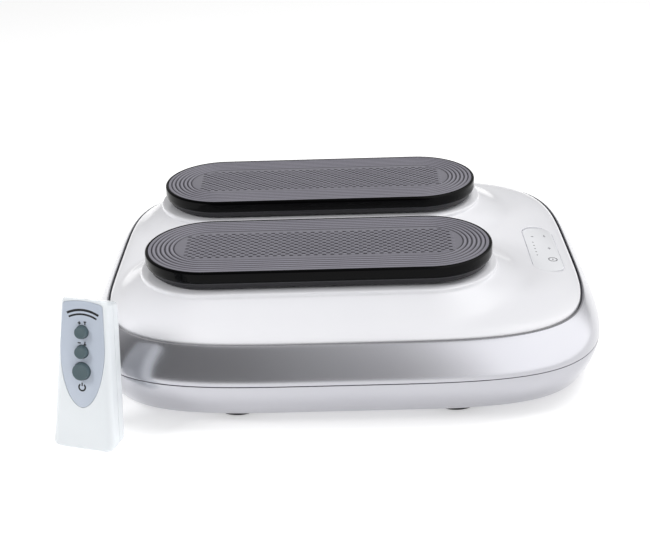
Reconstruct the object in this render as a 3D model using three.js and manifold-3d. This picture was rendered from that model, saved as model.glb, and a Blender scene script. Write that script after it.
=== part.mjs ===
// A seated leg exerciser: two foot pedals that slide fore and aft in opposition on a low housing,
// driven by a gear motor, a crank and a rocker beam, with a hand remote that stands beside it.
// Millimetres. X runs to the toe end, Y to the user's left and Z up from the floor.

import * as THREE from 'three';
import { mergeVertices } from 'three/addons/utils/BufferGeometryUtils.js';
import Module from 'manifold-3d';

const wasm = await Module();
wasm.setup();

// Gaps that every piece shares
const seatGap = 0.3;
const runningGap = 0.08;
const overrun = 6;

// How finely curves are faceted
const outlineSteps = 40;
const endSteps = 8;
const roundSteps = 14;
const smallSteps = 8;
const cornerSteps = 2;

// Housing outline: squared ovals at three heights, and the squareness of each
const floorLength = 439.4;
const floorWidth = 377.4;
const floorLift = 6;
const floorSquareness = 4.6;
const underRounding = 4;
const partingLength = 470.8;
const partingWidth = 409.2;
const partingLift = 42.4;
const partingSquareness = 4.2;
const partingLine = 0.6;
const coverLength = 435.8;
const coverWidth = 366.2;
const coverLift = 71.8;
const coverSquareness = 4.24;
const shellWall = 3;
const lowerBulge = 1.8;
const upperBulge = 1.7;

// Cover dome, its seal and the ledge that it sits on
const crownRise = 13;
const domeFlatness = 8;
const domeShoulder = 1.6;
const revealGap = 1.8;
const revealDepth = 2.1;
const ringLip = 1;
const ledgeDrop = 4.6;
const ledgeThickness = 3;
const ledgeReach = 5.3;

// Tongue of the lower shell inside the middle ring
const tongueHeight = 3;
const tongueWall = 1.2;
const tongueRoot = 1;

// Pedals and their stroke
const pedalLength = 315;
const pedalWidth = 117;
const pedalSpacing = 162.3;
const pedalSetback = 22.7;
const pedalTop = 120.2;
const halfStroke = 25;
const rimHeight = 10.6;
const rimLip = 2.6;
const rimRounding = 1.6;
const rimWall = 3;
const rimPlate = 2.2;
const matThickness = 3.6;
const matBorder = 3.6;
const ribPitch = 4.05;
const ribCount = 5;
const ribHeight = 0.9;
const ribCrestShare = 0.35;
const baseHeight = 6.4;
const baseInset = 0.9;
const baseTaper = 3.4;
const baseLip = 1.6;

// Pillars that carry each pedal through the slots in its plinth
const pillarLength = 30;
const pillarWidth = 18;
const pillarReach = 68;
const pillarWall = 3;
const pillarCorner = 6;
const slotClearance = 2.5;

// Plinths raised on the cover, each with a low wall and a long skirt down to the dome
const plinthGap = 2.2;
const plinthOverhang = 4.6;
const plinthTopInset = 3;
const plinthTopRounding = 1.2;
const plinthWall = 3.8;
const skirtReach = 27;
const skirtBury = 0.6;
const crownShoulderShare = 0.5;

// Touch panel at the toe end, set into the dome
const panelLength = 100;
const panelWidth = 28.6;
const panelCorner = 13;
const panelThickness = 2;
const panelGroove = 1;
const panelSunk = 0.6;
const panelEdgeReach = 27;
const panelPlaceY = -21;
const panelTilt = 4;
const boardThickness = 1.6;
const boardMargin = 4;

// Chassis plate on the lower shell's bosses
const chassisLength = 312;
const chassisWidth = 244;
const chassisCorner = 18;
const chassisThickness = 2;
const chassisLift = 15;
const chassisShift = -10;
const bossRadius = 7;
const bossMargin = 20;
const windowLength = 62;
const windowWidth = 46;
const windowCorner = 10;
const screwPostX = 178;
const screwPostY = 148;
const screwPostRadius = 5.5;
const screwPostBore = 1.7;
const screwPostTop = 60;

// Guide rods, their end blocks and the bushes
const rodRadius = 5;
const rodLift = 75;
const rodSpread = 24;
const rodBite = 12;
const rodBlockThickness = 16;
const rodBlockCrown = 10;
const rodBlockHalfWidth = 37;
const rodBlockWindow = 16;
const rodBlockFootReach = 9;
const rodBlockFootHeight = 5;
const endClearance = 7;
const bushWall = 3;
const bushFlange = 2;
const bushFlangeThickness = 1.5;

// Carriages under the pedals
const carriageBlockLength = 28;
const carriageHalfWidth = 37;
const carriageCrown = 11;
const carriageKeel = 9;
const spineWidth = 28;
const spineRise = 5;
const lugLength = 36;
const lugDrop = 8;
const lugWidth = 38;
const lugCorner = 5;
const slotRoof = 2.5;
const beamPlay = 0.35;

// Rocker beam with its pivot, end pins and drive pin
const beamThickness = 6;
const beamLift = 48;
const beamHubRadius = 18;
const beamEndRadius = 11;
const beamPinRadius = 5;
const sleeveRadius = 7;
const sleeveHeight = 12;
const pivotRadius = 8;
const pivotFootRadius = 17;
const pivotFootHeight = 5;
const pivotShoulderRadius = 13;
const pivotHeadRadius = 12;
const pivotHeadThickness = 3;
const drivePinShare = 0.5;
const drivePinRadius = 4;
const drivePinCollar = 8;
const drivePinHead = 7;
const drivePinHeadThickness = 2;

// Connecting rod and crank
const conrodLength = 78;
const conrodThickness = 6;
const conrodLift = 58;
const conrodEyeRadius = 10;
const conrodWaist = 6;
const conrodPocket = 1.6;
const crankRadius = 20;
const crankThickness = 6;
const crankLift = 48;
const crankPinRadius = 4;
const crankShaftRadius = 5;
const crankShaftDepth = 18;
const crankReliefRadius = 4.5;

// Gear motor
const wormOffset = 20;
const wormLift = 37;
const gearDrumRadius = 24;
const gearBoxTop = 47;
const wormTubeRadius = 9.5;
const wormTubeReach = 29;
const gearFootRadius = 6;
const gearFootHeight = 5;
const gearFootReach = 27;
const motorRadius = 18;
const motorLength = 68;
const motorNeckRadius = 10;
const motorNeckLength = 4;
const motorRounding = 3;
const motorTailRadius = 7;
const motorTailLength = 5;
const motorFlangeRadius = 16;
const motorFlangeThickness = 4;

// Control board behind the beam
const controlBoardLength = 70;
const controlBoardWidth = 84;
const controlBoardStandoff = 6;
const controlBoardShift = -112;
const standoffRadius = 3.5;
const standoffMargin = 6;
const capacitorRadius = 6;
const capacitorHeight = 18;
const relayLength = 20;
const relayWidth = 16;
const relayHeight = 14;
const plugBlockLength = 8;
const plugBlockWidth = 26;
const plugBlockHeight = 9;

// Inlet for the low-voltage lead, in a cup at the toe end
const inletLift = 25;
const inletCupWidth = 18;
const inletCupHeight = 14;
const inletCupDepth = 9;
const inletCupWall = 2;
const inletCupCorner = 3;
const inletBarrelRadius = 4.8;
const inletBarrelBore = 3.2;
const inletPinRadius = 1;
const inletBarrelLength = 4;
const inletBodyLength = 11;
const inletBodyWidth = 12;
const inletBodyHeight = 11;

// Rubber feet
const footX = 96;
const footY = 158;
const footRadius = 22;
const footChamfer = 2;
const footStemRadius = 5;
const footStemLength = 6;
const footHollow = 2;
const footHollowRadius = 12;

// Hand remote, leaning back on the slanted lower end that it stands on
const remoteX = -220.6;
const remoteY = -215.7;
const remoteTurn = 16;
const remoteLean = 14;
const remoteHeight = 128;
const remoteHeadFall = 12;
const remoteFootWidth = 56.5;
const remoteHeadWidth = 42;
const remoteDepth = 28;
const remoteEdge = 5;
const remoteHeadRounding = 6;
const remoteHeadInsetShare = 0.35;
const remoteFootRounding = 2.5;
const remoteWall = 2;
const remoteSeam = 0.3;
const facePlateWidth = 40;
const facePlateHeadDrop = 2;
const facePlateLength = 91.4;
const facePlateThickness = 0.9;
const facePlateTipRadius = 8.5;
const facePlateWaistDrop = 39.2;
const facePlateCorner = 5;
const facePlateHeadShare = 0.9;
const smallButtonRadius = 5.6;
const largeButtonRadius = 7.5;
const buttonDraft = 0.4;
const buttonProud = 4.6;
const buttonRounding = 0.6;
const buttonTravel = 1.2;
const buttonFlange = 1.4;
const buttonFlangeThickness = 1;
const buttonGap = 0.3;
const upButtonDrop = 28;
const downButtonDrop = 45;
const powerButtonDrop = 61.7;
const remoteBoardWidth = 34;
const remoteBoardHeadDrop = 12;
const remoteBoardLength = 60;
const remoteBoardPostRadius = 2.2;
const remoteLampRadius = 2.5;
const remoteLampLength = 5;
const cellRadius = 5.25;
const cellLength = 44.5;
const cellTipRadius = 1.9;
const cellTipLength = 1;
const cellPlace = 5.6;
const cellFoot = 12;
const doorWidth = 30;
const doorFoot = 8;
const doorHead = 66;
const doorCorner = 3;
const doorLatchWidth = 10;
const doorLatchHeight = 4;
const doorLatchRise = 0.8;
const shelfThickness = 1.6;

// Solids and rings

function solidOf(geometry) {
  geometry.deleteAttribute('normal');
  geometry.deleteAttribute('uv');
  const merged = mergeVertices(geometry);
  const mesh = new wasm.Mesh({
    numProp: 3,
    vertProperties: merged.attributes.position.array,
    triVerts: Uint32Array.from(merged.index.array),
  });
  return new wasm.Manifold(mesh);
}

function join(solids) {
  return solids.reduce((whole, solid) => whole.add(solid));
}

// A closed body through rings of equal count, each counter-clockwise from above, lowest first
function loft(rings) {
  const count = rings[0].length;
  const positions = rings.flat().flatMap((point) => [point.x, point.y, point.z]);
  const indices = [];
  for (let level = 0; level + 1 < rings.length; level += 1) {
    for (let step = 0; step < count; step += 1) {
      const here = level * count + step;
      const next = level * count + (step + 1) % count;
      indices.push(here, next, next + count, here, next + count, here + count);
    }
  }
  for (const level of [0, rings.length - 1]) {
    const hub = positions.length / 3;
    const middle = new THREE.Vector3();
    rings[level].forEach((point) => middle.addScaledVector(point, 1 / count));
    positions.push(middle.x, middle.y, middle.z);
    for (let step = 0; step < count; step += 1) {
      const here = level * count + step;
      const next = level * count + (step + 1) % count;
      indices.push(...(level === 0 ? [hub, next, here] : [hub, here, next]));
    }
  }
  const geometry = new THREE.BufferGeometry();
  geometry.setAttribute('position', new THREE.Float32BufferAttribute(positions, 3));
  geometry.setIndex(indices);
  return solidOf(geometry);
}

function squaredOval(length, width, squareness, lift) {
  const ring = [];
  for (let step = 0; step < outlineSteps; step += 1) {
    const angle = 2 * Math.PI * step / outlineSteps;
    const along = Math.sign(Math.cos(angle)) * Math.abs(Math.cos(angle)) ** (2 / squareness);
    const across = Math.sign(Math.sin(angle)) * Math.abs(Math.sin(angle)) ** (2 / squareness);
    ring.push(new THREE.Vector3(length / 2 * along, width / 2 * across, lift));
  }
  return ring;
}

function racetrack(length, width, lift, centreX = 0, centreY = 0) {
  const ring = [];
  for (const end of [1, -1]) {
    for (let step = 0; step <= endSteps; step += 1) {
      const angle = Math.PI * (step / endSteps - 1 / 2);
      const x = centreX + end * ((length - width) / 2 + width / 2 * Math.cos(angle));
      const y = centreY + end * width / 2 * Math.sin(angle);
      ring.push(new THREE.Vector3(x, y, lift));
    }
  }
  return ring;
}

function roundedBox(length, width, corner, lift, centreX = 0, centreY = 0) {
  const ring = [];
  const corners = [[1, 1], [-1, 1], [-1, -1], [1, -1]];
  corners.forEach(([sideX, sideY], quarter) => {
    for (let step = 0; step <= cornerSteps; step += 1) {
      const angle = Math.PI / 2 * (quarter + step / cornerSteps);
      const x = centreX + sideX * (length / 2 - corner) + corner * Math.cos(angle);
      const y = centreY + sideY * (width / 2 - corner) + corner * Math.sin(angle);
      ring.push(new THREE.Vector3(x, y, lift));
    }
  });
  return ring;
}

// An upright bar with one of the outlines above: bar(racetrack, [length, width], low, high, x, y)
function bar(outline, sizes, low, high, x = 0, y = 0) {
  return loft([outline(...sizes, low, x, y), outline(...sizes, high, x, y)]);
}

function disc(radius, low, high, x = 0, y = 0, steps = roundSteps) {
  const geometry = new THREE.CylinderGeometry(radius, radius, high - low, steps);
  geometry.rotateX(Math.PI / 2);
  geometry.translate(x, y, (low + high) / 2);
  return solidOf(geometry);
}

function discAlongX(radius, low, high, y, z, steps = roundSteps) {
  const geometry = new THREE.CylinderGeometry(radius, radius, high - low, steps);
  geometry.rotateZ(-Math.PI / 2);
  geometry.translate((low + high) / 2, y, z);
  return solidOf(geometry);
}

function discAlongY(radius, low, high, x, z) {
  const geometry = new THREE.CylinderGeometry(radius, radius, high - low, roundSteps);
  geometry.translate(x, (low + high) / 2, z);
  return solidOf(geometry);
}

function block([lowX, highX], [lowY, highY], [lowZ, highZ]) {
  const geometry = new THREE.BoxGeometry(highX - lowX, highY - lowY, highZ - lowZ);
  geometry.translate((lowX + highX) / 2, (lowY + highY) / 2, (lowZ + highZ) / 2);
  return solidOf(geometry);
}

function turned(profile, steps = roundSteps) {
  const geometry = new THREE.LatheGeometry(profile.map(([r, h]) => new THREE.Vector2(r, h)), steps);
  geometry.rotateX(Math.PI / 2);
  return geometry;
}

// A faceted bore whose flats clear a shaft of the given radius
function boreFor(radius, gap = runningGap, steps = roundSteps) {
  return (radius + gap) / Math.cos(Math.PI / steps);
}

// A flat link: a large end at the origin tapering along Y to a small end, as an outline
function linkOutline(largeRadius, smallRadius, reach) {
  const lean = Math.asin((largeRadius - smallRadius) / reach);
  const shape = new THREE.Shape();
  shape.absarc(0, 0, largeRadius, Math.PI - lean, 2 * Math.PI + lean, false);
  shape.absarc(0, reach, smallRadius, lean, Math.PI - lean, false);
  return shape;
}

function plateOf(shape, low, high) {
  const geometry = new THREE.ExtrudeGeometry(shape, {
    depth: high - low,
    bevelEnabled: false,
    curveSegments: roundSteps / 2,
  });
  geometry.translate(0, 0, low);
  return geometry;
}

const product = new THREE.Group();
const machine = new THREE.Group();
const remote = new THREE.Group();
product.add(machine, remote);

function place(group, name, solid, finish) {
  const { vertProperties, triVerts } = solid.getMesh();
  const geometry = new THREE.BufferGeometry();
  geometry.setAttribute('position', new THREE.Float32BufferAttribute(vertProperties, 3));
  geometry.setIndex(new THREE.BufferAttribute(triVerts, 1));
  geometry.computeVertexNormals();
  const [color, roughness, metalness] = finish;
  const mesh = new THREE.Mesh(geometry, new THREE.MeshStandardMaterial({ color, roughness, metalness }));
  mesh.name = name;
  group.add(mesh);
  return mesh;
}

// Finishes: colour, roughness, metalness
const whiteGloss = [0xf3f3f6, 0.18, 0];
const silverPaint = [0xb9b9c0, 0.32, 0.55];
const blackGloss = [0x08080a, 0.08, 0];
const darkPlastic = [0x2b2b2e, 0.45, 0];
const matRubber = [0x66646b, 0.75, 0];
const footRubber = [0x26262a, 0.85, 0];
const zincSteel = [0xa8adb3, 0.38, 0.9];
const groundSteel = [0xc9ccd0, 0.2, 1];
const castAlloy = [0x9a9da2, 0.5, 0.8];
const bearingBronze = [0xa77b43, 0.4, 0.9];
const slipNylon = [0xe4e0d2, 0.5, 0];
const motorPaint = [0x3a3c40, 0.4, 0.6];
const circuitGreen = [0x1e5a3a, 0.5, 0];
const panelGrey = [0xd9dadd, 0.25, 0];
const facePlateBlue = [0xc0c7d6, 0.35, 0];
const buttonSlate = [0x5f6e70, 0.5, 0];
const lampDark = [0x1a1022, 0.1, 0];
const cellJacket = [0x2f6b4f, 0.3, 0.2];

// Housing surfaces

// The lower shell narrows from the parting line to the floor, and the middle ring to the cover
function lowerRing(lift, inset = 0) {
  const share = (partingLift - lift) / (partingLift - floorLift);
  const narrowing = Math.min(Math.max(share, 0), 1) ** lowerBulge;
  const length = THREE.MathUtils.lerp(partingLength, floorLength, narrowing);
  const width = THREE.MathUtils.lerp(partingWidth, floorWidth, narrowing);
  const squareness = THREE.MathUtils.lerp(partingSquareness, floorSquareness, narrowing);
  return squaredOval(length - 2 * inset, width - 2 * inset, squareness, lift);
}

const ringTopGrowth = 2 * (revealGap + ringLip);

function upperRing(lift, inset = 0) {
  const share = (lift - partingLift) / (coverLift - partingLift);
  const narrowing = Math.min(Math.max(share, 0), 1) ** upperBulge;
  const length = THREE.MathUtils.lerp(partingLength, coverLength + ringTopGrowth, narrowing);
  const width = THREE.MathUtils.lerp(partingWidth, coverWidth + ringTopGrowth, narrowing);
  const squareness = THREE.MathUtils.lerp(partingSquareness, coverSquareness, narrowing);
  return squaredOval(length - 2 * inset, width - 2 * inset, squareness, lift);
}

// The same ring at another height
function at(ring, lift) {
  return ring.map((point) => point.clone().setZ(lift));
}

function coverRing(share, lift, inset = 0) {
  const length = (coverLength - 2 * inset) * share;
  const width = (coverWidth - 2 * inset) * share;
  return squaredOval(length, width, coverSquareness, lift);
}

// Height of the dome over the cover's edge. The share runs from 1 at the rim to 0 at the crown
function domeRise(share) {
  return crownRise * (1 - share ** domeFlatness) ** (1 / domeShoulder);
}

function domeHeight(x, y) {
  const along = Math.abs(2 * x / coverLength) ** coverSquareness;
  const across = Math.abs(2 * y / coverWidth) ** coverSquareness;
  return coverLift + domeRise(Math.min((along + across) ** (1 / coverSquareness), 1));
}

const domeShares = [1, 0.98, 0.93, 0.82, 0.6];
const hollowShares = [1, 0.93, 0.7];

function dome(skirtFoot, inset, shares) {
  const rings = shares.map((share) => coverRing(share, coverLift + domeRise(share) - inset, inset));
  return loft([coverRing(1, skirtFoot, inset), ...rings]);
}

// Places that several pieces share

const pedalBaseFoot = pedalTop - rimHeight - baseHeight;
const plinthTop = pedalBaseFoot - plinthGap;
const chassisTop = chassisLift + chassisThickness;
const carriageLow = rodLift - carriageKeel;
const carriageHigh = rodLift + carriageCrown;
const carriageReach = pillarReach + carriageBlockLength / 2;
const rodBlockInner = carriageReach + halfStroke + endClearance;
const bushRadius = rodRadius + bushWall;
const beamTop = beamLift + beamThickness;
const beamReach = pedalSpacing / 2;
const beamSwing = Math.asin(halfStroke / beamReach);
const drivePinReach = beamReach * drivePinShare;
const crankThrow = halfStroke * drivePinShare;
const crankDistance = Math.sqrt(conrodLength ** 2 - crankThrow ** 2);
const crankX = -pedalSetback + crankDistance;
const crankY = -drivePinReach;
const crankTop = crankLift + crankThickness;
const ledgeTop = coverLift - ledgeDrop;
const sides = [['right', -1], ['left', 1]];
const ends = [['heel', -1], ['toe', 1]];

// A plinth over its skirt, or the hollow under them when it is sunk and shrunk
function plinthRings(centreY, sink = 0, shrink = 0) {
  const ring = (reach, lift) => {
    const grown = 2 * (plinthOverhang + reach - shrink);
    return racetrack(pedalLength + grown, pedalWidth + grown, lift - sink, -pedalSetback, centreY);
  };
  const skirtFoot = ring(skirtReach, 0);
  skirtFoot.forEach((point) => point.setZ(domeHeight(point.x, point.y) - skirtBury - sink));
  return [
    skirtFoot,
    ring(0, plinthTop - plinthWall),
    ring(0, plinthTop - plinthTopRounding),
    ring(-plinthTopInset * crownShoulderShare, plinthTop - plinthTopRounding * (1 - crownShoulderShare)),
    ring(-plinthTopInset, plinthTop),
  ];
}

// Top cover

function panelFrame() {
  const frame = new THREE.Object3D();
  const x = coverLength / 2 - panelEdgeReach;
  frame.position.set(x, panelPlaceY, domeHeight(x, panelPlaceY));
  frame.rotation.y = THREE.MathUtils.degToRad(panelTilt);
  frame.updateMatrix();
  return frame.matrix;
}

// A rounded bar in the panel's own plane, from low to high along its normal
function panelBar(growth, low, high) {
  const sizes = [panelWidth + 2 * growth, panelLength + 2 * growth, panelCorner + growth];
  const rings = [low, high].map((lift) => roundedBox(...sizes, lift));
  const matrix = panelFrame();
  rings.flat().forEach((point) => point.applyMatrix4(matrix));
  return loft(rings);
}

const panelFloor = -panelSunk - panelThickness - seatGap;

function topCover() {
  const skirtFoot = ledgeTop + seatGap;
  let outer = dome(skirtFoot, 0, domeShares);
  let hollow = dome(skirtFoot - overrun, shellWall, hollowShares);
  const cuts = [];
  for (const [, side] of sides) {
    const centreY = side * pedalSpacing / 2;
    outer = outer.add(loft(plinthRings(centreY)));
    hollow = hollow.add(loft(plinthRings(centreY, shellWall, shellWall)));
    for (const [, end] of ends) {
      const slotSizes = [
        pillarLength + 2 * (halfStroke + slotClearance),
        pillarWidth + 2 * slotClearance,
        pillarCorner + slotClearance,
      ];
      const x = -pedalSetback + end * pillarReach;
      cuts.push(bar(roundedBox, slotSizes, plinthTop - overrun, plinthTop + overrun, x, centreY));
    }
  }
  const pocketWall = panelBar(panelGroove + shellWall, panelFloor - shellWall, overrun).intersect(outer);
  cuts.push(panelBar(panelGroove, panelFloor, overrun));
  let cover = outer.subtract(hollow).add(pocketWall);
  for (const [, sideY] of sides) {
    for (const [, sideX] of ends) {
      const x = sideX * screwPostX;
      const y = sideY * screwPostY;
      const post = disc(screwPostRadius, screwPostTop + seatGap, coverLift + crownRise, x, y, smallSteps);
      cover = cover.add(post.intersect(outer));
      cuts.push(disc(screwPostBore, screwPostTop - overrun, coverLift - seatGap, x, y, smallSteps));
    }
  }
  return cover.subtract(join(cuts));
}

// Middle ring and the seal in the reveal round the cover

function middleRing() {
  const low = partingLift + partingLine / 2;
  const ledgeFoot = ledgeTop - ledgeThickness;
  const levelShares = [0, 0.4, 0.75, 1];
  const outer = levelShares.map((share) => upperRing(THREE.MathUtils.lerp(low, coverLift, share)));
  const rebateTop = low + tongueHeight + seatGap;
  const inner = [rebateTop, ledgeFoot];
  const rebateInset = shellWall - tongueWall - seatGap;
  const foot = upperRing(low, rebateInset);
  const hollow = [
    at(foot, low - overrun),
    at(foot, rebateTop),
    ...inner.map((lift) => upperRing(lift, shellWall)),
  ];
  const mouth = 2 * revealGap;
  const ledge = 2 * ledgeReach;
  const opening = squaredOval(coverLength - ledge, coverWidth - ledge, coverSquareness, 0);
  const rebate = squaredOval(coverLength + mouth, coverWidth + mouth, coverSquareness, 0);
  return loft(outer)
    .subtract(loft(hollow))
    .subtract(loft([at(opening, ledgeFoot - overrun), at(opening, ledgeTop + overrun)]))
    .subtract(loft([at(rebate, ledgeTop), at(rebate, coverLift + overrun)]));
}

function coverSeal() {
  const low = ledgeTop + seatGap;
  const high = coverLift - revealDepth;
  const wide = 2 * (revealGap - seatGap);
  const narrow = 2 * seatGap;
  const outer = [low, high].map(
    (z) => squaredOval(coverLength + wide, coverWidth + wide, coverSquareness, z),
  );
  const inner = [low - overrun, high + overrun].map(
    (z) => squaredOval(coverLength + narrow, coverWidth + narrow, coverSquareness, z),
  );
  return loft(outer).subtract(loft(inner));
}

// Lower shell with bosses, screw posts, foot holes and the inlet's cup

function inletOuterX() {
  const share = (partingLift - inletLift) / (partingLift - floorLift);
  return THREE.MathUtils.lerp(partingLength, floorLength, share ** lowerBulge) / 2;
}

const inletFaceX = inletOuterX() - inletCupDepth;

// A rounded bar along X at the inlet
function inletBar(growth, low, high) {
  const sizes = [inletCupHeight + 2 * growth, inletCupWidth + 2 * growth, inletCupCorner + growth];
  const rings = [low, high].map((lift) => roundedBox(...sizes, lift));
  rings.flat().forEach((point) => point.set(point.z, point.y, inletLift - point.x));
  return loft(rings);
}

function chassisBossPlaces() {
  const places = [];
  for (const sideX of [-1, 0, 1]) {
    for (const sideY of [-1, 1]) {
      const x = chassisShift + sideX * (chassisLength / 2 - bossMargin);
      places.push([x, sideY * (chassisWidth / 2 - bossMargin)]);
    }
  }
  return places;
}

function lowerShell() {
  const high = partingLift - partingLine / 2;
  const floorTop = floorLift + shellWall;
  const levelShares = [0.1, 0.3, 0.6, 1];
  const levels = levelShares.map((share) => THREE.MathUtils.lerp(floorLift, high, share));
  const outer = loft([lowerRing(floorLift, underRounding), ...levels.map((lift) => lowerRing(lift))]);
  const hollow = loft([
    lowerRing(floorTop, shellWall + underRounding / 2),
    ...levels.slice(1).map((lift) => lowerRing(lift, shellWall)),
    lowerRing(high + overrun, shellWall),
  ]);
  const tongueInset = shellWall - tongueWall;
  const tongue = loft([
    lowerRing(high - tongueRoot, tongueInset),
    lowerRing(high + tongueHeight, tongueInset),
  ]);
  let shell = outer.add(tongue).subtract(hollow);
  const cuts = [];
  for (const [x, y] of chassisBossPlaces()) {
    shell = shell.add(disc(bossRadius, floorTop - shellWall / 2, chassisLift - seatGap, x, y, smallSteps));
  }
  for (const [, sideY] of sides) {
    for (const [, sideX] of ends) {
      const post = [sideX * screwPostX, sideY * screwPostY, smallSteps];
      shell = shell.add(disc(screwPostRadius, floorTop - shellWall / 2, screwPostTop, ...post));
      cuts.push(disc(screwPostBore, floorLift - overrun, screwPostTop + overrun, ...post));
      const hole = boreFor(footStemRadius, seatGap);
      cuts.push(disc(hole, floorLift - overrun, floorTop + overrun, sideX * footX, sideY * footY));
    }
  }
  const cupBack = inletFaceX - inletCupWall;
  const cup = inletBar(inletCupWall, cupBack, inletOuterX()).intersect(outer);
  cuts.push(inletBar(0, inletFaceX, inletOuterX() + overrun));
  const barrelHole = boreFor(inletBarrelRadius, seatGap);
  cuts.push(discAlongX(barrelHole, cupBack - overrun, inletFaceX + overrun, 0, inletLift));
  return shell.add(cup).subtract(join(cuts));
}

// Pieces that sit in the housing

function inletSocket() {
  const back = inletFaceX - inletCupWall - seatGap;
  const mouth = inletFaceX + inletBarrelLength / 2;
  const [halfWidth, halfHeight] = [inletBodyWidth / 2, inletBodyHeight / 2];
  const body = block(
    [back - inletBodyLength, back],
    [-halfWidth, halfWidth],
    [inletLift - halfHeight, inletLift + halfHeight],
  );
  const bore = discAlongX(inletBarrelBore, back, mouth + overrun, 0, inletLift);
  return body
    .add(discAlongX(inletBarrelRadius, back - inletBodyLength / 2, mouth, 0, inletLift))
    .subtract(bore)
    .add(discAlongX(inletPinRadius, back - inletBodyLength / 2, mouth, 0, inletLift));
}

function rubberFoot() {
  const high = floorLift - seatGap;
  const profile = [
    [0, footHollow],
    [footHollowRadius - footHollow, footHollow],
    [footHollowRadius, 0],
    [footRadius - footChamfer, 0],
    [footRadius, footChamfer],
    [footRadius - footChamfer, high],
    [footStemRadius, high],
    [footStemRadius, high + footStemLength],
    [0, high + footStemLength],
  ];
  return solidOf(turned(profile));
}

function chassisPlate() {
  const sizes = [chassisLength, chassisWidth, chassisCorner];
  let plate = bar(roundedBox, sizes, chassisLift, chassisTop, chassisShift);
  const windowSizes = [windowLength, windowWidth, windowCorner];
  for (const [, side] of sides) {
    for (const [, end] of ends) {
      const x = -pedalSetback + end * rodBlockInner / 2;
      const y = side * pedalSpacing / 2;
      plate = plate.subtract(bar(roundedBox, windowSizes, chassisLift - overrun, chassisTop + overrun, x, y));
    }
  }
  for (const [, side] of sides) {
    for (const [, end] of ends) {
      const x = controlBoardShift + end * (controlBoardLength / 2 - standoffMargin);
      const y = side * (controlBoardWidth / 2 - standoffMargin);
      const top = chassisTop + controlBoardStandoff;
      plate = plate.add(disc(standoffRadius, chassisLift, top, x, y, smallSteps));
    }
  }
  return plate;
}

function rodBlock(side, end) {
  const low = chassisTop + seatGap;
  const centreY = side * pedalSpacing / 2;
  const inner = -pedalSetback + end * rodBlockInner;
  const outer = inner + end * rodBlockThickness;
  const span = [Math.min(inner, outer), Math.max(inner, outer)];
  const foot = [span[0] - rodBlockFootReach, span[1] + rodBlockFootReach];
  const acrossY = [centreY - rodBlockHalfWidth, centreY + rodBlockHalfWidth];
  const windowHigh = rodLift - rodRadius - bushWall;
  let upright = block(span, acrossY, [low, rodLift + rodBlockCrown]);
  upright = upright.add(block(foot, acrossY, [low, low + rodBlockFootHeight]));
  const windowY = [centreY - rodBlockWindow, centreY + rodBlockWindow];
  const windowZ = [low + 2 * rodBlockFootHeight, windowHigh];
  const cuts = [block([span[0] - overrun, span[1] + overrun], windowY, windowZ)];
  for (const [, rod] of sides) {
    const rodY = centreY + rod * rodSpread;
    const bore = boreFor(rodRadius, runningGap, smallSteps);
    const mouth = inner + end * (rodBite + seatGap);
    const start = inner - end * overrun;
    cuts.push(discAlongX(bore, Math.min(mouth, start), Math.max(mouth, start), rodY, rodLift, smallSteps));
  }
  return upright.subtract(join(cuts));
}

function guideRod(side, rod) {
  const reach = rodBlockInner + rodBite;
  const y = side * pedalSpacing / 2 + rod * rodSpread;
  return discAlongX(rodRadius, -pedalSetback - reach, -pedalSetback + reach, y, rodLift, smallSteps);
}

function beamPivot() {
  const low = chassisTop + seatGap;
  const head = beamTop + seatGap;
  const profile = [
    [0, low],
    [pivotFootRadius, low],
    [pivotFootRadius, low + pivotFootHeight],
    [pivotShoulderRadius, low + pivotFootHeight],
    [pivotShoulderRadius, beamLift - seatGap],
    [pivotRadius, beamLift - seatGap],
    [pivotRadius, head],
    [pivotHeadRadius, head],
    [pivotHeadRadius, head + pivotHeadThickness],
    [0, head + pivotHeadThickness],
  ];
  return solidOf(turned(profile));
}

function gearBox() {
  const low = chassisTop + seatGap;
  const wormY = crankY + wormOffset;
  let box = disc(gearDrumRadius, low, gearBoxTop, crankX, crankY);
  box = box.add(discAlongX(wormTubeRadius, crankX - wormTubeReach, crankX + wormTubeReach, wormY, wormLift));
  box = box.add(block(
    [crankX - gearDrumRadius, crankX + gearDrumRadius],
    [crankY, wormY + wormTubeRadius / 2],
    [low, wormLift],
  ));
  const flangeLow = crankX + wormTubeReach - motorFlangeThickness;
  const flangeHigh = crankX + wormTubeReach;
  box = box.add(discAlongX(motorFlangeRadius, flangeLow, flangeHigh, wormY, wormLift));
  for (const [, sideY] of sides) {
    for (const [, sideX] of ends) {
      const x = crankX + sideX * gearFootReach / Math.SQRT2;
      const y = crankY + sideY * gearFootReach / Math.SQRT2;
      box = box.add(disc(gearFootRadius, low, low + gearFootHeight, x, y, smallSteps));
    }
  }
  const bore = boreFor(crankShaftRadius);
  const boreFoot = gearBoxTop - crankShaftDepth - seatGap;
  return box.subtract(disc(bore, boreFoot, gearBoxTop + overrun, crankX, crankY));
}

function gearMotor() {
  const neck = seatGap + motorNeckLength;
  const back = neck + motorLength;
  const profile = [
    [0, seatGap],
    [motorNeckRadius, seatGap],
    [motorNeckRadius, neck],
    [motorRadius - motorRounding, neck],
    [motorRadius, neck + motorRounding],
    [motorRadius, back - motorRounding],
    [motorRadius - motorRounding, back],
    [motorTailRadius, back],
    [motorTailRadius, back + motorTailLength],
    [0, back + motorTailLength],
  ];
  const geometry = turned(profile);
  geometry.rotateY(Math.PI / 2);
  geometry.translate(crankX + wormTubeReach, crankY + wormOffset, wormLift);
  return solidOf(geometry);
}

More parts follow.
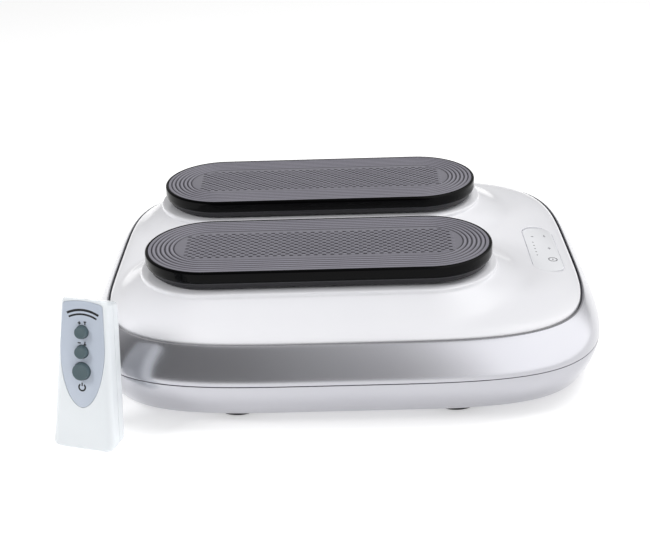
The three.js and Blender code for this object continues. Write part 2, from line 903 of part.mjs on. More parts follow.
function controlBoard() {
  const low = chassisTop + controlBoardStandoff + seatGap;
  const top = low + boardThickness;
  const x = controlBoardShift;
  let board = bar(roundedBox, [controlBoardLength, controlBoardWidth, standoffRadius], low, top, x);
  const third = controlBoardWidth / 3;
  for (const step of [0, 2 * capacitorRadius + seatGap]) {
    board = board.add(disc(capacitorRadius, low, top + capacitorHeight, x + step, third));
  }
  board = board.add(block(
    [x - relayLength / 2, x + relayLength / 2],
    [-relayWidth / 2, relayWidth / 2],
    [low, top + relayHeight],
  ));
  const plugX = x - controlBoardLength / 2 + plugBlockLength;
  return board.add(block(
    [plugX, plugX + plugBlockLength],
    [-third - plugBlockWidth / 2, -third + plugBlockWidth / 2],
    [low, top + plugBlockHeight],
  ));
}

// Pedals

// A ring inset from the pedal's own outline, with the pedal's centre at the origin
function pedalRing(inset, lift) {
  return racetrack(pedalLength - 2 * inset, pedalWidth - 2 * inset, lift);
}

function pedalRim() {
  const low = pedalTop - rimHeight;
  const matFloor = pedalTop - matThickness - seatGap;
  const outer = loft([
    pedalRing(0, low),
    pedalRing(0, pedalTop - rimRounding),
    pedalRing(rimRounding / 3, pedalTop - rimRounding / 3),
    pedalRing(rimRounding, pedalTop),
  ]);
  const recess = loft([pedalRing(rimLip, matFloor), pedalRing(rimLip, pedalTop + overrun)]);
  const pocket = loft([pedalRing(rimWall, low - overrun), pedalRing(rimWall, matFloor - rimPlate)]);
  return outer.subtract(recess).subtract(pocket);
}

function pedalMat() {
  const low = pedalTop - matThickness;
  const edge = rimLip + seatGap;
  const high = pedalTop - ribHeight;
  const rings = [pedalRing(edge, low), pedalRing(edge, high)];
  for (let rib = 0; rib < ribCount; rib += 1) {
    const valley = rimLip + matBorder + rib * ribPitch;
    rings.push(pedalRing(valley, high), pedalRing(valley + ribPitch * ribCrestShare, pedalTop));
  }
  rings.push(pedalRing(rimLip + matBorder + ribCount * ribPitch, high));
  return loft(rings);
}

function pedalBase() {
  const high = pedalTop - rimHeight - seatGap;
  const low = pedalBaseFoot;
  const dish = loft([
    pedalRing(baseInset + baseTaper, low),
    pedalRing(baseInset + baseTaper / 4, (low + high) / 2),
    pedalRing(baseInset, high - baseInset),
    pedalRing(baseInset, high),
  ]);
  const lipEdge = rimWall + seatGap;
  let base = dish.add(loft([pedalRing(lipEdge, low + baseLip), pedalRing(lipEdge, high + baseLip)]));
  for (const [, end] of ends) {
    const x = end * pillarReach;
    const foot = carriageHigh + seatGap;
    base = base.add(bar(roundedBox, [pillarLength, pillarWidth, pillarCorner], foot, high, x));
    const corner = pillarCorner - pillarWall / 2;
    const bore = [pillarLength - 2 * pillarWall, pillarWidth - 2 * pillarWall, corner];
    base = base.subtract(bar(roundedBox, bore, foot - overrun, low, x));
  }
  return base;
}

// Carriage with its cross blocks, spine and the lug whose slot takes the beam's end sleeve
function carriage(side) {
  const crossY = [-carriageHalfWidth, carriageHalfWidth];
  const lugLow = carriageLow - lugDrop;
  const sleeveTop = beamTop + sleeveHeight;
  let body = block(
    [-carriageReach, carriageReach],
    [-spineWidth / 2, spineWidth / 2],
    [carriageLow, rodLift + spineRise],
  );
  body = body.add(bar(roundedBox, [lugLength, lugWidth, lugCorner], lugLow, carriageLow + spineRise));
  const cuts = [];
  for (const [, end] of ends) {
    const middle = end * pillarReach;
    const span = [middle - carriageBlockLength / 2, middle + carriageBlockLength / 2];
    body = body.add(block(span, crossY, [carriageLow, carriageHigh]));
    for (const [, rod] of sides) {
      const bore = boreFor(bushRadius, seatGap, smallSteps);
      cuts.push(discAlongX(bore, span[0] - overrun, span[1] + overrun, rod * rodSpread, rodLift, smallSteps));
    }
  }
  // The sleeve's arc carries it towards the middle of the machine, so the slot is longer on that side
  const drift = beamReach * (1 - Math.cos(beamSwing));
  const slotWidth = 2 * (sleeveRadius + beamPlay);
  const slotSizes = [slotWidth + drift, slotWidth];
  const slot = [lugLow - overrun, sleeveTop + slotRoof].map((lift) => racetrack(...slotSizes, lift));
  slot.flat().forEach((point) => point.set(-point.y, point.x - side * drift / 2, point.z));
  cuts.push(loft(slot));
  return body.subtract(join(cuts));
}

// Flanged bush along X, its flange outside the block that it sits in
function carriageBush() {
  const half = carriageBlockLength / 2;
  const seat = half + seatGap;
  const bore = boreFor(rodRadius, runningGap, smallSteps);
  const profile = [
    [bore, -half],
    [bushRadius, -half],
    [bushRadius, seat],
    [bushRadius + bushFlange, seat],
    [bushRadius + bushFlange, seat + bushFlangeThickness],
    [bore, seat + bushFlangeThickness],
    [bore, -half],
  ];
  const geometry = turned(profile, smallSteps);
  geometry.rotateY(Math.PI / 2);
  return solidOf(geometry);
}

// Rocker beam: a hub with an arm to each carriage

function rockerBeam() {
  const arm = linkOutline(beamHubRadius, beamEndRadius, beamReach);
  const farArm = plateOf(arm, beamLift, beamTop);
  const nearArm = plateOf(arm, beamLift, beamTop);
  nearArm.rotateZ(Math.PI);
  const cuts = [disc(boreFor(pivotRadius), beamLift - overrun, beamTop + overrun)];
  for (const [, side] of sides) {
    cuts.push(disc(boreFor(beamPinRadius), beamLift - overrun, beamTop + overrun, 0, side * beamReach));
  }
  cuts.push(disc(boreFor(drivePinRadius), beamLift - overrun, beamTop + overrun, 0, -drivePinReach));
  return solidOf(farArm).add(solidOf(nearArm)).subtract(join(cuts));
}

function endPin() {
  const profile = [
    [0, beamLift],
    [beamPinRadius, beamLift],
    [beamPinRadius, beamTop + seatGap],
    [sleeveRadius, beamTop + seatGap],
    [sleeveRadius, beamTop + sleeveHeight],
    [0, beamTop + sleeveHeight],
  ];
  return solidOf(turned(profile));
}

function drivePin() {
  const rodTop = conrodLift + conrodThickness + seatGap;
  const profile = [
    [0, beamLift],
    [drivePinRadius, beamLift],
    [drivePinRadius, beamTop + seatGap],
    [drivePinCollar, beamTop + seatGap],
    [drivePinCollar, conrodLift - seatGap],
    [drivePinRadius, conrodLift - seatGap],
    [drivePinRadius, rodTop],
    [drivePinHead, rodTop],
    [drivePinHead, rodTop + drivePinHeadThickness],
    [0, rodTop + drivePinHeadThickness],
  ];
  return solidOf(turned(profile));
}

// Connecting rod along its own X from the drive pin, with a pocket in each face
function connectingRod() {
  const low = conrodLift;
  const high = conrodLift + conrodThickness;
  const middle = conrodLength / 2;
  const pocketSizes = [conrodLength - 3 * conrodEyeRadius, conrodWaist, conrodWaist / 3];
  const shankWidth = conrodWaist + 2 * conrodPocket;
  const cuts = [
    bar(roundedBox, pocketSizes, low - overrun, low + conrodPocket, middle),
    bar(roundedBox, pocketSizes, high - conrodPocket, high + overrun, middle),
    disc(boreFor(drivePinRadius), low - overrun, high + overrun),
    disc(boreFor(crankPinRadius), low - overrun, high + overrun, conrodLength),
  ];
  return block([0, conrodLength], [-shankWidth / 2, shankWidth / 2], [low, high])
    .add(disc(conrodEyeRadius, low, high))
    .add(disc(conrodEyeRadius, low, high, conrodLength))
    .subtract(join(cuts));
}

// Crank disc with its shaft, and a pin that stops just below the connecting rod's eye
function crankDisc() {
  let crank = disc(crankRadius, crankLift, crankTop);
  crank = crank.add(disc(crankShaftRadius, gearBoxTop - crankShaftDepth, crankLift + crankThickness / 2));
  crank = crank.add(disc(crankPinRadius, crankLift, conrodLift - seatGap, 0, crankThrow));
  for (const [, side] of sides) {
    const x = side * crankThrow;
    const relief = disc(crankReliefRadius, crankLift - overrun, crankTop + overrun, x, -crankReliefRadius);
    crank = crank.subtract(relief);
  }
  return crank;
}

// Hand remote: its own frame has its face to -Y and its length along Z, before it leans back

const remoteFootSlope = Math.tan(THREE.MathUtils.degToRad(remoteLean));
const remoteHeadSlope = Math.tan(THREE.MathUtils.degToRad(remoteHeadFall));

// The lower end is cut level with the floor, and the head falls away from the face
function slanted(ring, slope, level) {
  for (const point of ring) point.z += (point.y - level) * slope;
  return ring;
}

function remoteRing(lift, inset, wall) {
  const share = lift / remoteHeight;
  const width = THREE.MathUtils.lerp(remoteFootWidth, remoteHeadWidth, share);
  const shrink = 2 * (inset + wall);
  const corner = Math.max(remoteEdge - wall, remoteWall / 2);
  return roundedBox(width - shrink, remoteDepth - shrink, corner - inset / 2, lift);
}

function remoteBody(wall) {
  const rings = [];
  const quarter = [0, 0.5, 1];
  for (const share of quarter) {
    const angle = Math.PI / 2 * share;
    const inset = remoteFootRounding * (1 - Math.sin(angle));
    const ring = remoteRing(wall + remoteFootRounding * (1 - Math.cos(angle)), inset, wall);
    rings.push(slanted(ring, remoteFootSlope, 0));
  }
  for (const share of quarter) {
    const angle = Math.PI / 2 * share;
    const inset = remoteHeadRounding * (1 - Math.cos(angle)) * remoteHeadInsetShare;
    const lift = remoteHeight - wall - remoteHeadRounding * (1 - Math.sin(angle));
    rings.push(slanted(remoteRing(lift, inset, wall), -remoteHeadSlope, -remoteDepth / 2));
  }
  return loft(rings);
}

const facePlateHead = remoteHeight - facePlateHeadDrop;
const facePlateTip = facePlateHead - facePlateLength;
const facePlateWaist = facePlateHead - facePlateWaistDrop;
const remoteBoardHead = remoteHeight - remoteBoardHeadDrop;
const remoteBoardFoot = remoteBoardHead - remoteBoardLength;

// Faceplate outline in X and Z: an arched head, sides that swell to the waist and a round tip
function facePlateShape(growth) {
  const half = facePlateWidth / 2 + growth;
  const headHalf = half * facePlateHeadShare;
  const head = facePlateHead + growth;
  const tip = facePlateTip - growth;
  const tipRadius = facePlateTipRadius + growth;
  const shape = new THREE.Shape();
  shape.moveTo(0, tip);
  shape.bezierCurveTo(tipRadius, tip, half, facePlateTip + facePlateTipRadius * 2, half, facePlateWaist);
  shape.lineTo(headHalf, head - facePlateCorner);
  const cornerX = headHalf - facePlateCorner;
  const shoulder = head - facePlateCorner / 3;
  const arch = head - facePlateCorner / 4;
  shape.quadraticCurveTo(headHalf, shoulder, cornerX, arch);
  shape.quadraticCurveTo(0, head + facePlateCorner / 4, -cornerX, arch);
  shape.quadraticCurveTo(-headHalf, shoulder, -headHalf, head - facePlateCorner);
  shape.lineTo(-half, facePlateWaist);
  shape.bezierCurveTo(-half, facePlateTip + facePlateTipRadius * 2, -tipRadius, tip, 0, tip);
  return shape;
}

function facePlateSolid(growth, lowY, highY) {
  const geometry = new THREE.ExtrudeGeometry(facePlateShape(growth), {
    depth: highY - lowY,
    bevelEnabled: false,
    curveSegments: cornerSteps * 2,
  });
  geometry.rotateX(Math.PI / 2);
  geometry.translate(0, highY, 0);
  return solidOf(geometry);
}

const buttons = [
  ['remote_up_button', smallButtonRadius, remoteHeight - upButtonDrop],
  ['remote_down_button', smallButtonRadius, remoteHeight - downButtonDrop],
  ['remote_power_button', largeButtonRadius, remoteHeight - powerButtonDrop],
];
const remoteFront = -remoteDepth / 2;
const plateSeat = remoteFront + facePlateThickness + seatGap;
const frontInner = remoteFront + remoteWall;
const flangeFront = frontInner + buttonGap;
const flangeBack = flangeFront + buttonFlangeThickness;
const boardFront = flangeBack + buttonTravel + buttonGap;
const boardBack = boardFront + boardThickness;
const doorOuter = remoteDepth / 2;

function remoteBox(halfWidth, [lowY, highY], [lowZ, highZ]) {
  return block([-halfWidth, halfWidth], [lowY, highY], [lowZ, highZ]);
}

function remoteHalf(lowY, highY) {
  const half = remoteBox(remoteFootWidth, [lowY, highY], [-remoteDepth, remoteHeight + overrun]);
  return remoteBody(0).subtract(remoteBody(remoteWall)).intersect(half);
}

function remoteFrontShell() {
  let shell = remoteHalf(remoteFront - overrun, -remoteSeam / 2);
  for (const [, side] of sides) {
    for (const height of [remoteBoardFoot, remoteBoardHead]) {
      const toward = height === remoteBoardFoot ? 1 : -1;
      const x = side * (remoteBoardWidth / 2 - boardMargin);
      const z = height + toward * boardMargin;
      const postFoot = remoteFront + remoteWall / 2;
      shell = shell.add(discAlongY(remoteBoardPostRadius, postFoot, boardFront - seatGap, x, z));
    }
  }
  const cuts = [facePlateSolid(seatGap, remoteFront - overrun, plateSeat)];
  for (const [, radius, height] of buttons) {
    cuts.push(discAlongY(boreFor(radius, buttonGap), remoteFront - overrun, flangeFront, 0, height));
  }
  const lampBore = boreFor(remoteLampRadius, seatGap, smallSteps);
  const lampFoot = remoteHeight - remoteLampLength;
  cuts.push(disc(lampBore, lampFoot, remoteHeight + overrun, 0, remoteFront / 2, smallSteps));
  return shell.subtract(join(cuts));
}

function remoteBackShell() {
  let shell = remoteHalf(remoteSeam / 2, remoteDepth / 2 + overrun);
  const cellHead = cellFoot + cellLength + cellTipLength + seatGap;
  for (const low of [cellFoot - seatGap - shelfThickness, cellHead + seatGap]) {
    const depths = [remoteSeam / 2, remoteDepth / 2 - remoteWall / 2];
    const shelf = remoteBox(remoteFootWidth / 2, depths, [low, low + shelfThickness]);
    shell = shell.add(shelf.intersect(remoteBody(remoteWall / 2)));
  }
  const opening = roundedDoor(seatGap, doorOuter - remoteWall - seatGap, doorOuter + overrun);
  return shell.subtract(opening);
}

// The battery door's outline as a bar along Y
function roundedDoor(growth, lowY, highY) {
  const height = doorHead - doorFoot;
  const rings = [lowY, highY].map(
    (lift) => roundedBox(doorWidth + 2 * growth, height + 2 * growth, doorCorner, lift),
  );
  const middle = (doorHead + doorFoot) / 2;
  rings.flat().forEach((point) => point.set(-point.x, point.z, middle + point.y));
  return loft(rings);
}

function remoteBatteryDoor() {
  const latchLow = doorHead - 2 * doorLatchHeight;
  const latchHigh = doorHead - doorLatchHeight;
  const heights = [latchLow, latchHigh];
  const latch = remoteBox(doorLatchWidth / 2, [doorOuter - remoteWall, doorOuter + overrun], heights);
  const door = roundedDoor(0, doorOuter - remoteWall, doorOuter);
  const grip = remoteBox(doorLatchWidth, [doorOuter - doorLatchRise, doorOuter + overrun], heights);
  return door.subtract(grip.subtract(latch));
}

function remoteFacePlate() {
  let plate = facePlateSolid(0, remoteFront, remoteFront + facePlateThickness);
  for (const [, radius, height] of buttons) {
    plate = plate.subtract(discAlongY(boreFor(radius, buttonGap), remoteFront - overrun, 0, 0, height));
  }
  return plate;
}

function remoteButton(radius, height) {
  const top = remoteFront - buttonProud;
  const crown = radius - buttonDraft;
  const profile = [
    [0, top],
    [crown - buttonRounding, top],
    [crown, top + buttonRounding],
    [radius, remoteFront],
    [radius, flangeFront],
    [radius + buttonFlange, flangeFront],
    [radius + buttonFlange, flangeBack],
    [0, flangeBack],
  ];
  const geometry = turned(profile);
  geometry.rotateX(-Math.PI / 2);
  geometry.translate(0, 0, height);
  return solidOf(geometry);
}

function remoteCell(side) {
  const y = doorOuter - remoteWall - seatGap - cellRadius;
  const head = cellFoot + cellLength;
  return disc(cellRadius, cellFoot, head, side * cellPlace, y)
    .add(disc(cellTipRadius, head - cellTipLength, head + cellTipLength, side * cellPlace, y, smallSteps));
}

// Housing assembly

place(machine, 'top_cover', topCover(), whiteGloss);
place(machine, 'middle_ring', middleRing(), silverPaint);
place(machine, 'cover_seal', coverSeal(), darkPlastic);
place(machine, 'lower_shell', lowerShell(), silverPaint);
place(machine, 'control_panel', panelBar(0, -panelSunk - panelThickness, -panelSunk), panelGrey);
const boardHigh = panelFloor - shellWall - seatGap;
place(machine, 'panel_board', panelBar(-boardMargin, boardHigh - boardThickness, boardHigh), circuitGreen);
place(machine, 'inlet_socket', inletSocket(), darkPlastic);
place(machine, 'chassis_plate', chassisPlate(), zincSteel);
place(machine, 'gear_box', gearBox(), castAlloy);
place(machine, 'gear_motor', gearMotor(), motorPaint);
place(machine, 'control_board', controlBoard(), circuitGreen);
const pivot = place(machine, 'beam_pivot', beamPivot(), groundSteel);
pivot.position.x = -pedalSetback;
for (const [sideName, side] of sides) {
  for (const [endName, end] of ends) {
    const foot = place(machine, `rubber_foot_${sideName}_${endName}`, rubberFoot(), footRubber);
    foot.position.set(end * footX, side * footY, 0);
    place(machine, `rod_block_${sideName}_${endName}`, rodBlock(side, end), castAlloy);
  }
}

// Pedal assemblies, each in a group at its own centre

for (const [sideName, side] of sides) {
  const pedal = new THREE.Group();
  pedal.position.set(-pedalSetback, side * pedalSpacing / 2, 0);
  machine.add(pedal);
  place(pedal, `${sideName}_pedal_mat`, pedalMat(), matRubber);
  place(pedal, `${sideName}_pedal_rim`, pedalRim(), blackGloss);
  place(pedal, `${sideName}_pedal_base`, pedalBase(), darkPlastic);
  place(pedal, `${sideName}_carriage`, carriage(side), castAlloy);
  for (const [rodName, rod] of [['inner', -side], ['outer', side]]) {
    place(machine, `${sideName}_${rodName}_guide_rod`, guideRod(side, rod), groundSteel);
    for (const [endName, end] of ends) {
      const bush = place(pedal, `${sideName}_${rodName}_bush_${endName}`, carriageBush(), bearingBronze);
      bush.position.set(end * pillarReach, rod * rodSpread, rodLift);
      bush.rotation.z = end < 0 ? Math.PI : 0;
    }
  }
}

// Drive assembly

const beam = new THREE.Group();
beam.position.x = -pedalSetback;
machine.add(beam);
place(beam, 'rocker_beam', rockerBeam(), zincSteel);
for (const [sideName, side] of sides) {
  const pin = place(beam, `beam_pin_${sideName}`, endPin(), slipNylon);
  pin.position.y = side * beamReach;
}
const pinToRod = place(beam, 'drive_pin', drivePin(), groundSteel);
pinToRod.position.y = -drivePinReach;

const conrod = place(machine, 'connecting_rod', connectingRod(), castAlloy);
conrod.position.set(-pedalSetback, crankY, 0);
conrod.rotation.z = Math.asin(crankThrow / conrodLength);
const crank = place(machine, 'crank_disc', crankDisc(), groundSteel);
crank.position.set(crankX, crankY, 0);

// Remote assembly

place(remote, 'remote_front_shell', remoteFrontShell(), whiteGloss);
place(remote, 'remote_back_shell', remoteBackShell(), whiteGloss);
place(remote, 'remote_face_plate', remoteFacePlate(), facePlateBlue);
place(remote, 'remote_battery_door', remoteBatteryDoor(), whiteGloss);
for (const [name, radius, height] of buttons) {
  place(remote, name, remoteButton(radius, height), buttonSlate);
}
const boardSpan = [remoteBoardFoot, remoteBoardHead];
const remoteBoard = remoteBox(remoteBoardWidth / 2, [boardFront, boardBack], boardSpan);
place(remote, 'remote_board', remoteBoard, circuitGreen);
const lampTop = remoteHeight + remoteHeadSlope * remoteFront / 2 - remoteWall / 3;
const lamp = disc(remoteLampRadius, lampTop - remoteLampLength, lampTop, 0, remoteFront / 2, smallSteps);
place(remote, 'remote_lamp', lamp, lampDark);
for (const [sideName, side] of sides) {
  place(remote, `remote_cell_${sideName}`, remoteCell(side), cellJacket);
}
remote.position.set(remoteX, remoteY, 0);
const remoteAngles = [-remoteLean, 0, -remoteTurn].map(THREE.MathUtils.degToRad);
remote.rotation.set(...remoteAngles, 'ZYX');

// The origin is on the floor under the middle of the whole set
product.updateMatrixWorld(true);
const setBox = new THREE.Box3().setFromObject(product, true);
const middleOfAll = setBox.getCenter(new THREE.Vector3());
product.position.set(-middleOfAll.x, -middleOfAll.y, 0);

export default product;
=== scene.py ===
# A seated leg exerciser: two sliding foot pedals on a low housing, with a hand remote beside it
import math
import bpy
import numpy as np
from mathutils import Matrix, Vector, geometry


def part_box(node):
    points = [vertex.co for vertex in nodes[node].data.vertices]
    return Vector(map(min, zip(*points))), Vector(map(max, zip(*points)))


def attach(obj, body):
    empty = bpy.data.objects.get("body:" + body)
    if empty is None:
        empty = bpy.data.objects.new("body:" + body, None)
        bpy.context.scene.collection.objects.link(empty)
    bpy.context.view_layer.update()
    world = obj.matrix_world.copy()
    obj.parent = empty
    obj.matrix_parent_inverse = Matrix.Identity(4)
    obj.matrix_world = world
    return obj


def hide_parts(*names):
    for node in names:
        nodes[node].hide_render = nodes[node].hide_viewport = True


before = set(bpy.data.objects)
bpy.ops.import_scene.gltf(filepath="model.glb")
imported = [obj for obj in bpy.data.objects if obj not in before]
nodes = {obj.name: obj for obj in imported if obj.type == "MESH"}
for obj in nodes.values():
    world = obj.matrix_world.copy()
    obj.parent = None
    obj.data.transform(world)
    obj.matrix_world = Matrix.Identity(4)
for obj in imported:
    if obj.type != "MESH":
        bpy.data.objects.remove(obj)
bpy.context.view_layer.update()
mm = 0.001

# Places that come from the frame, in millimetres
def middleOf(node):
    low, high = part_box(node)
    return [(a + b) / 2 / mm for a, b in zip(low, high)]


housingX, housingY, _ = middleOf("middle_ring")
pedalX = middleOf("right_pedal_mat")[0] - housingX
pedalReach = (middleOf("left_pedal_mat")[1] - middleOf("right_pedal_mat")[1]) / 2
sides = {"right": -1, "left": 1}
ends = {"heel": -1, "toe": 1}
fourCorners = [(end, side) for side in sides.values() for end in ends.values()]

# Camera

view = {"place": (2.7, -1133.9, 587.2), "yaw": -1.1, "pitch": 25.4, "roll": -1.96,
        "focalPixels": 1270.3, "imageWidth": 650, "sensor": 36.0}


def makeCamera():
    yaw, pitch, roll = (math.radians(view[key]) for key in ("yaw", "pitch", "roll"))
    forward = Vector((math.sin(yaw) * math.cos(pitch), math.cos(yaw) * math.cos(pitch), -math.sin(pitch)))
    level = Vector((math.cos(yaw), -math.sin(yaw), 0))
    raised = level.cross(forward)
    across = math.cos(roll) * level + math.sin(roll) * raised
    upward = -math.sin(roll) * level + math.cos(roll) * raised
    data = bpy.data.cameras.new("camera")
    data.sensor_width = view["sensor"]
    data.lens = view["focalPixels"] * view["sensor"] / view["imageWidth"]
    data.clip_end = 30
    camera = bpy.data.objects.new("camera", data)
    turn = Matrix((across, upward, -forward)).transposed().to_4x4()
    place = (Vector(view["place"]) + Vector((housingX, housingY, 0))) * mm
    camera.matrix_world = Matrix.Translation(place) @ turn
    bpy.context.scene.collection.objects.link(camera)
    bpy.context.scene.camera = camera


makeCamera()
print("camera placed")

# Node trees


class Socket:
    # Wraps a node's socket, so that a Python expression adds its Math nodes
    def __init__(self, tree, socket):
        self.tree = tree
        self.socket = socket

    def math(self, operation, *others):
        return self.node("ShaderNodeMath", {"operation": operation}, [self, *others])

    def node(self, kind, settings=None, inputs=(), output=0):
        made = self.tree.nodes.new(kind)
        for key, value in (settings or {}).items():
            setattr(made, key, value)
        shown = [socket for socket in made.inputs if socket.enabled]
        pairs = inputs.items() if isinstance(inputs, dict) else enumerate(inputs)
        for key, value in pairs:
            socket = shown[key] if isinstance(key, int) else next(s for s in shown if s.name == key)
            if isinstance(value, Socket):
                self.tree.links.new(value.socket, socket)
            elif value is not None:
                socket.default_value = value
        given = [socket for socket in made.outputs if socket.enabled]
        picked = given[output] if isinstance(output, int) else next(s for s in given if s.name == output)
        return Socket(self.tree, picked)

    def split(self):
        made = self.tree.nodes.new("ShaderNodeSeparateXYZ")
        self.tree.links.new(self.socket, made.inputs[0])
        return [Socket(self.tree, output) for output in made.outputs]

    def clamped(self):
        return self.math("MAXIMUM", 0.0).math("MINIMUM", 1.0)

    def __add__(self, other):
        return self.math("ADD", other)

    __radd__ = __add__

    def __sub__(self, other):
        return self.math("SUBTRACT", other)

    def __rsub__(self, other):
        return self.node("ShaderNodeMath", {"operation": "SUBTRACT"}, [other, self])

    def __mul__(self, other):
        return self.math("MULTIPLY", other)

    __rmul__ = __mul__

    def __truediv__(self, other):
        return self.math("DIVIDE", other)

    def __rtruediv__(self, other):
        return self.node("ShaderNodeMath", {"operation": "DIVIDE"}, [other, self])

    def __pow__(self, other):
        return self.math("POWER", other)


# Finishes. Colours are written as on screen and turned linear here


def linear(code):
    shades = [int(code[i:i + 2], 16) / 255 for i in (0, 2, 4)]
    return tuple(s / 12.92 if s <= 0.04045 else ((s + 0.055) / 1.055) ** 2.4 for s in shades) + (1.0,)


# The two tones that a slow noise mixes, the roughness and how far it moves with the grain, the grain's size and
# height in millimetres, then what only some have. For the mat, two heights in millimetres and a darker tone paint
# shade: lower surfaces take that tone, so its grooves and dimples look shaded
finishes = {
    "coverWhite": ("f1f1f4", "ebebf0", 0.16, 0.03, 0.35, 0.0012, {"coat": 0.35}),
    "bandSilver": ("c2c2c7", "b8b8bf", 0.24, 0.02, 0.12, 0.0001, {"metallic": 0.85, "coat": 0.5}),
    # Painted shade: the seal's dark colour darkens the reveal between the cover and the band
    "sealDark": ("4a4a50", "3e3e44", 0.6, 0.1, 0.5, 0.01, {}),
    "panelGrey": ("eff0f3", "e9eaee", 0.22, 0.04, 0.25, 0.001, {"coat": 0.3}),
    "markGrey": ("4c4d52", "424348", 0.5, 0.05, 0.2, 0.002, {}),
    "rimBlack": ("060607", "030304", 0.12, 0.02, 0.6, 0.0006, {"specular": 0.09}),
    "baseDark": ("2c2c30", "232327", 0.4, 0.08, 0.3, 0.004, {}),
    "matRubber": ("97959f", "86848e", 0.46, 0.14, 0.35, 0.02,
                  {"relief": (118.9, 120.5, "26252b"), "stretch": (0.12, 1, 1)}),
    "footRubber": ("2b2b2f", "212125", 0.8, 0.08, 0.4, 0.02, {}),
    "socketBlack": ("1c1c1e", "141416", 0.42, 0.08, 0.3, 0.006, {}),
    "zincSteel": ("b3b7bb", "9a9fa6", 0.36, 0.16, 3.0, 0.004, {"metallic": 0.95}),
    "groundSteel": ("cfd2d5", "bfc3c7", 0.18, 0.07, 0.12, 0.002, {"metallic": 1.0, "stretch": (1, 9, 9)}),
    "castAlloy": ("a6a9ad", "8e9196", 0.46, 0.14, 0.7, 0.03, {"metallic": 0.9}),
    "motorCase": ("3c3e43", "303237", 0.34, 0.08, 0.5, 0.006, {"metallic": 0.4, "coat": 0.3, "stretch": (0.2, 1, 1)}),
    "bushBronze": ("a67c46", "86602f", 0.42, 0.14, 0.25, 0.012, {"metallic": 0.9}),
    "pinNylon": ("e6e1d2", "dad4c2", 0.45, 0.08, 0.5, 0.006, {}),
    "cellJacket": ("2f6b52", "265a44", 0.28, 0.05, 0.5, 0.003, {"coat": 0.4}),
    "remoteWhite": ("ecf0f3", "e4e9ed", 0.2, 0.03, 0.3, 0.001, {"coat": 0.3}),
    "facePlate": ("c3cbd8", "bac3d1", 0.38, 0.07, 0.18, 0.004, {}),
    "markBlack": ("17181b", "101114", 0.5, 0.05, 0.2, 0.002, {}),
    "buttonSlate": ("56686e", "4a5b60", 0.46, 0.1, 0.22, 0.008, {}),
    "lampDark": ("1b1224", "120b1a", 0.09, 0.02, 0.6, 0.001, {"coat": 0.6}),
    "floorPale": ("eeeeee", "ececec", 0.9, 0.02, 6.0, 0.01, {"specular": 0.0, "glow": 0.42}),
}
slowNoise = 60 * mm


def startMaterial(name):
    material = bpy.data.materials.new(name)
    material.use_nodes = True
    tree = material.node_tree
    shader = tree.nodes["Principled BSDF"]
    return material, tree, shader, Socket(tree, None)


def plug(tree, shader, values):
    for name, value in values.items():
        if isinstance(value, Socket):
            tree.links.new(value.socket, shader.inputs[name])
        else:
            shader.inputs[name].default_value = value


def smooth(value, low, high):
    share = ((value - low) / (high - low)).clamped()
    return share * share * (3 - 2 * share)


def blend(share, a, b):
    return share.node("ShaderNodeMix", {"data_type": "RGBA"}, {"Factor": share, "A": a, "B": b})


def finishOf(name):
    colour, shade, roughness, wander, size, height, extras = finishes[name]
    material, tree, shader, start = startMaterial(name)
    place = start.node("ShaderNodeTexCoord", output="Object")
    stretched = start.node("ShaderNodeMapping", {}, {"Vector": place, "Scale": extras.get("stretch", (1, 1, 1))})
    slow = start.node("ShaderNodeTexNoise", {}, {"Vector": place, "Scale": 1 / slowNoise, "Detail": 3.0})
    grain = start.node("ShaderNodeTexNoise", {}, {"Vector": stretched, "Scale": 1 / (size * mm), "Detail": 2.0})
    tone = blend(slow * 0.6 + grain * 0.4, linear(colour), linear(shade))
    # Painted shade: darker towards the bottom of the mat's grooves and dimples
    if "relief" in extras:
        low, high, hollow = extras["relief"]
        tone = blend(smooth(place.split()[2], low * mm, high * mm), linear(hollow), tone)
    bump = start.node("ShaderNodeBump", {}, {"Strength": 1.0, "Distance": height * mm, "Height": grain})
    plug(tree, shader, {
        "Base Color": tone, "Normal": bump,
        "Roughness": (grain * 0.5 + slow * 0.5 - 0.5) * (2 * wander) + roughness,
        "Metallic": extras.get("metallic", 0.0), "Coat Weight": extras.get("coat", 0.0), "Coat Roughness": 0.06,
        "Specular IOR Level": extras.get("specular", 0.5),
    })
    if "glow" in extras:
        plug(tree, shader, {"Emission Color": (1.0, 1.0, 1.0, 1.0), "Emission Strength": extras["glow"]})
    return material


def circuitFinish():
    # Green solder mask with lighter tracks and gold pads
    material, tree, shader, start = startMaterial("circuitGreen")
    place = start.node("ShaderNodeTexCoord", output="Object")
    cells = start.node("ShaderNodeTexVoronoi", {"distance": "MANHATTAN", "feature": "F1"},
                       {"Vector": place, "Scale": 1 / (3.2 * mm)}, output="Distance")
    tracks = start.node("ShaderNodeTexBrick", {"offset": 0.35}, {
        "Vector": place, "Scale": 1 / (9 * mm), "Mortar Size": 0.03, "Brick Width": 0.9, "Row Height": 0.22,
        "Color1": linear("1e5a3a"), "Color2": linear("236743"), "Mortar": linear("4b9468")})
    pads = cells.math("LESS_THAN", 0.09)
    plug(tree, shader, {"Base Color": blend(pads, tracks, linear("c9a24e")), "Metallic": pads * 0.9,
                        "Roughness": 0.42 - pads * 0.15})
    return material


materials = {name: finishOf(name) for name in finishes}
materials["circuitGreen"] = circuitFinish()
print("finishes made")

# Meshes. Points are in millimetres until a piece is placed


def gather(*bodies):
    points, faces = [], []
    for some, polygons in bodies:
        base = len(points)
        points.extend(some)
        faces.extend([tuple(base + i for i in polygon) for polygon in polygons])
    return points, faces


def loft(rings):
    # A closed skin through rings of equal count, each counter-clockwise from the last ring's side
    count = len(rings[0])
    points = [tuple(point) for ring in rings for point in ring]
    faces = []
    for level in range(len(rings) - 1):
        for step in range(count):
            here, after = level * count + step, level * count + (step + 1) % count
            faces.append((here, after, after + count, here + count))
    faces.append(tuple(reversed(range(count))))
    faces.append(tuple(range((len(rings) - 1) * count, len(rings) * count)))
    return points, faces


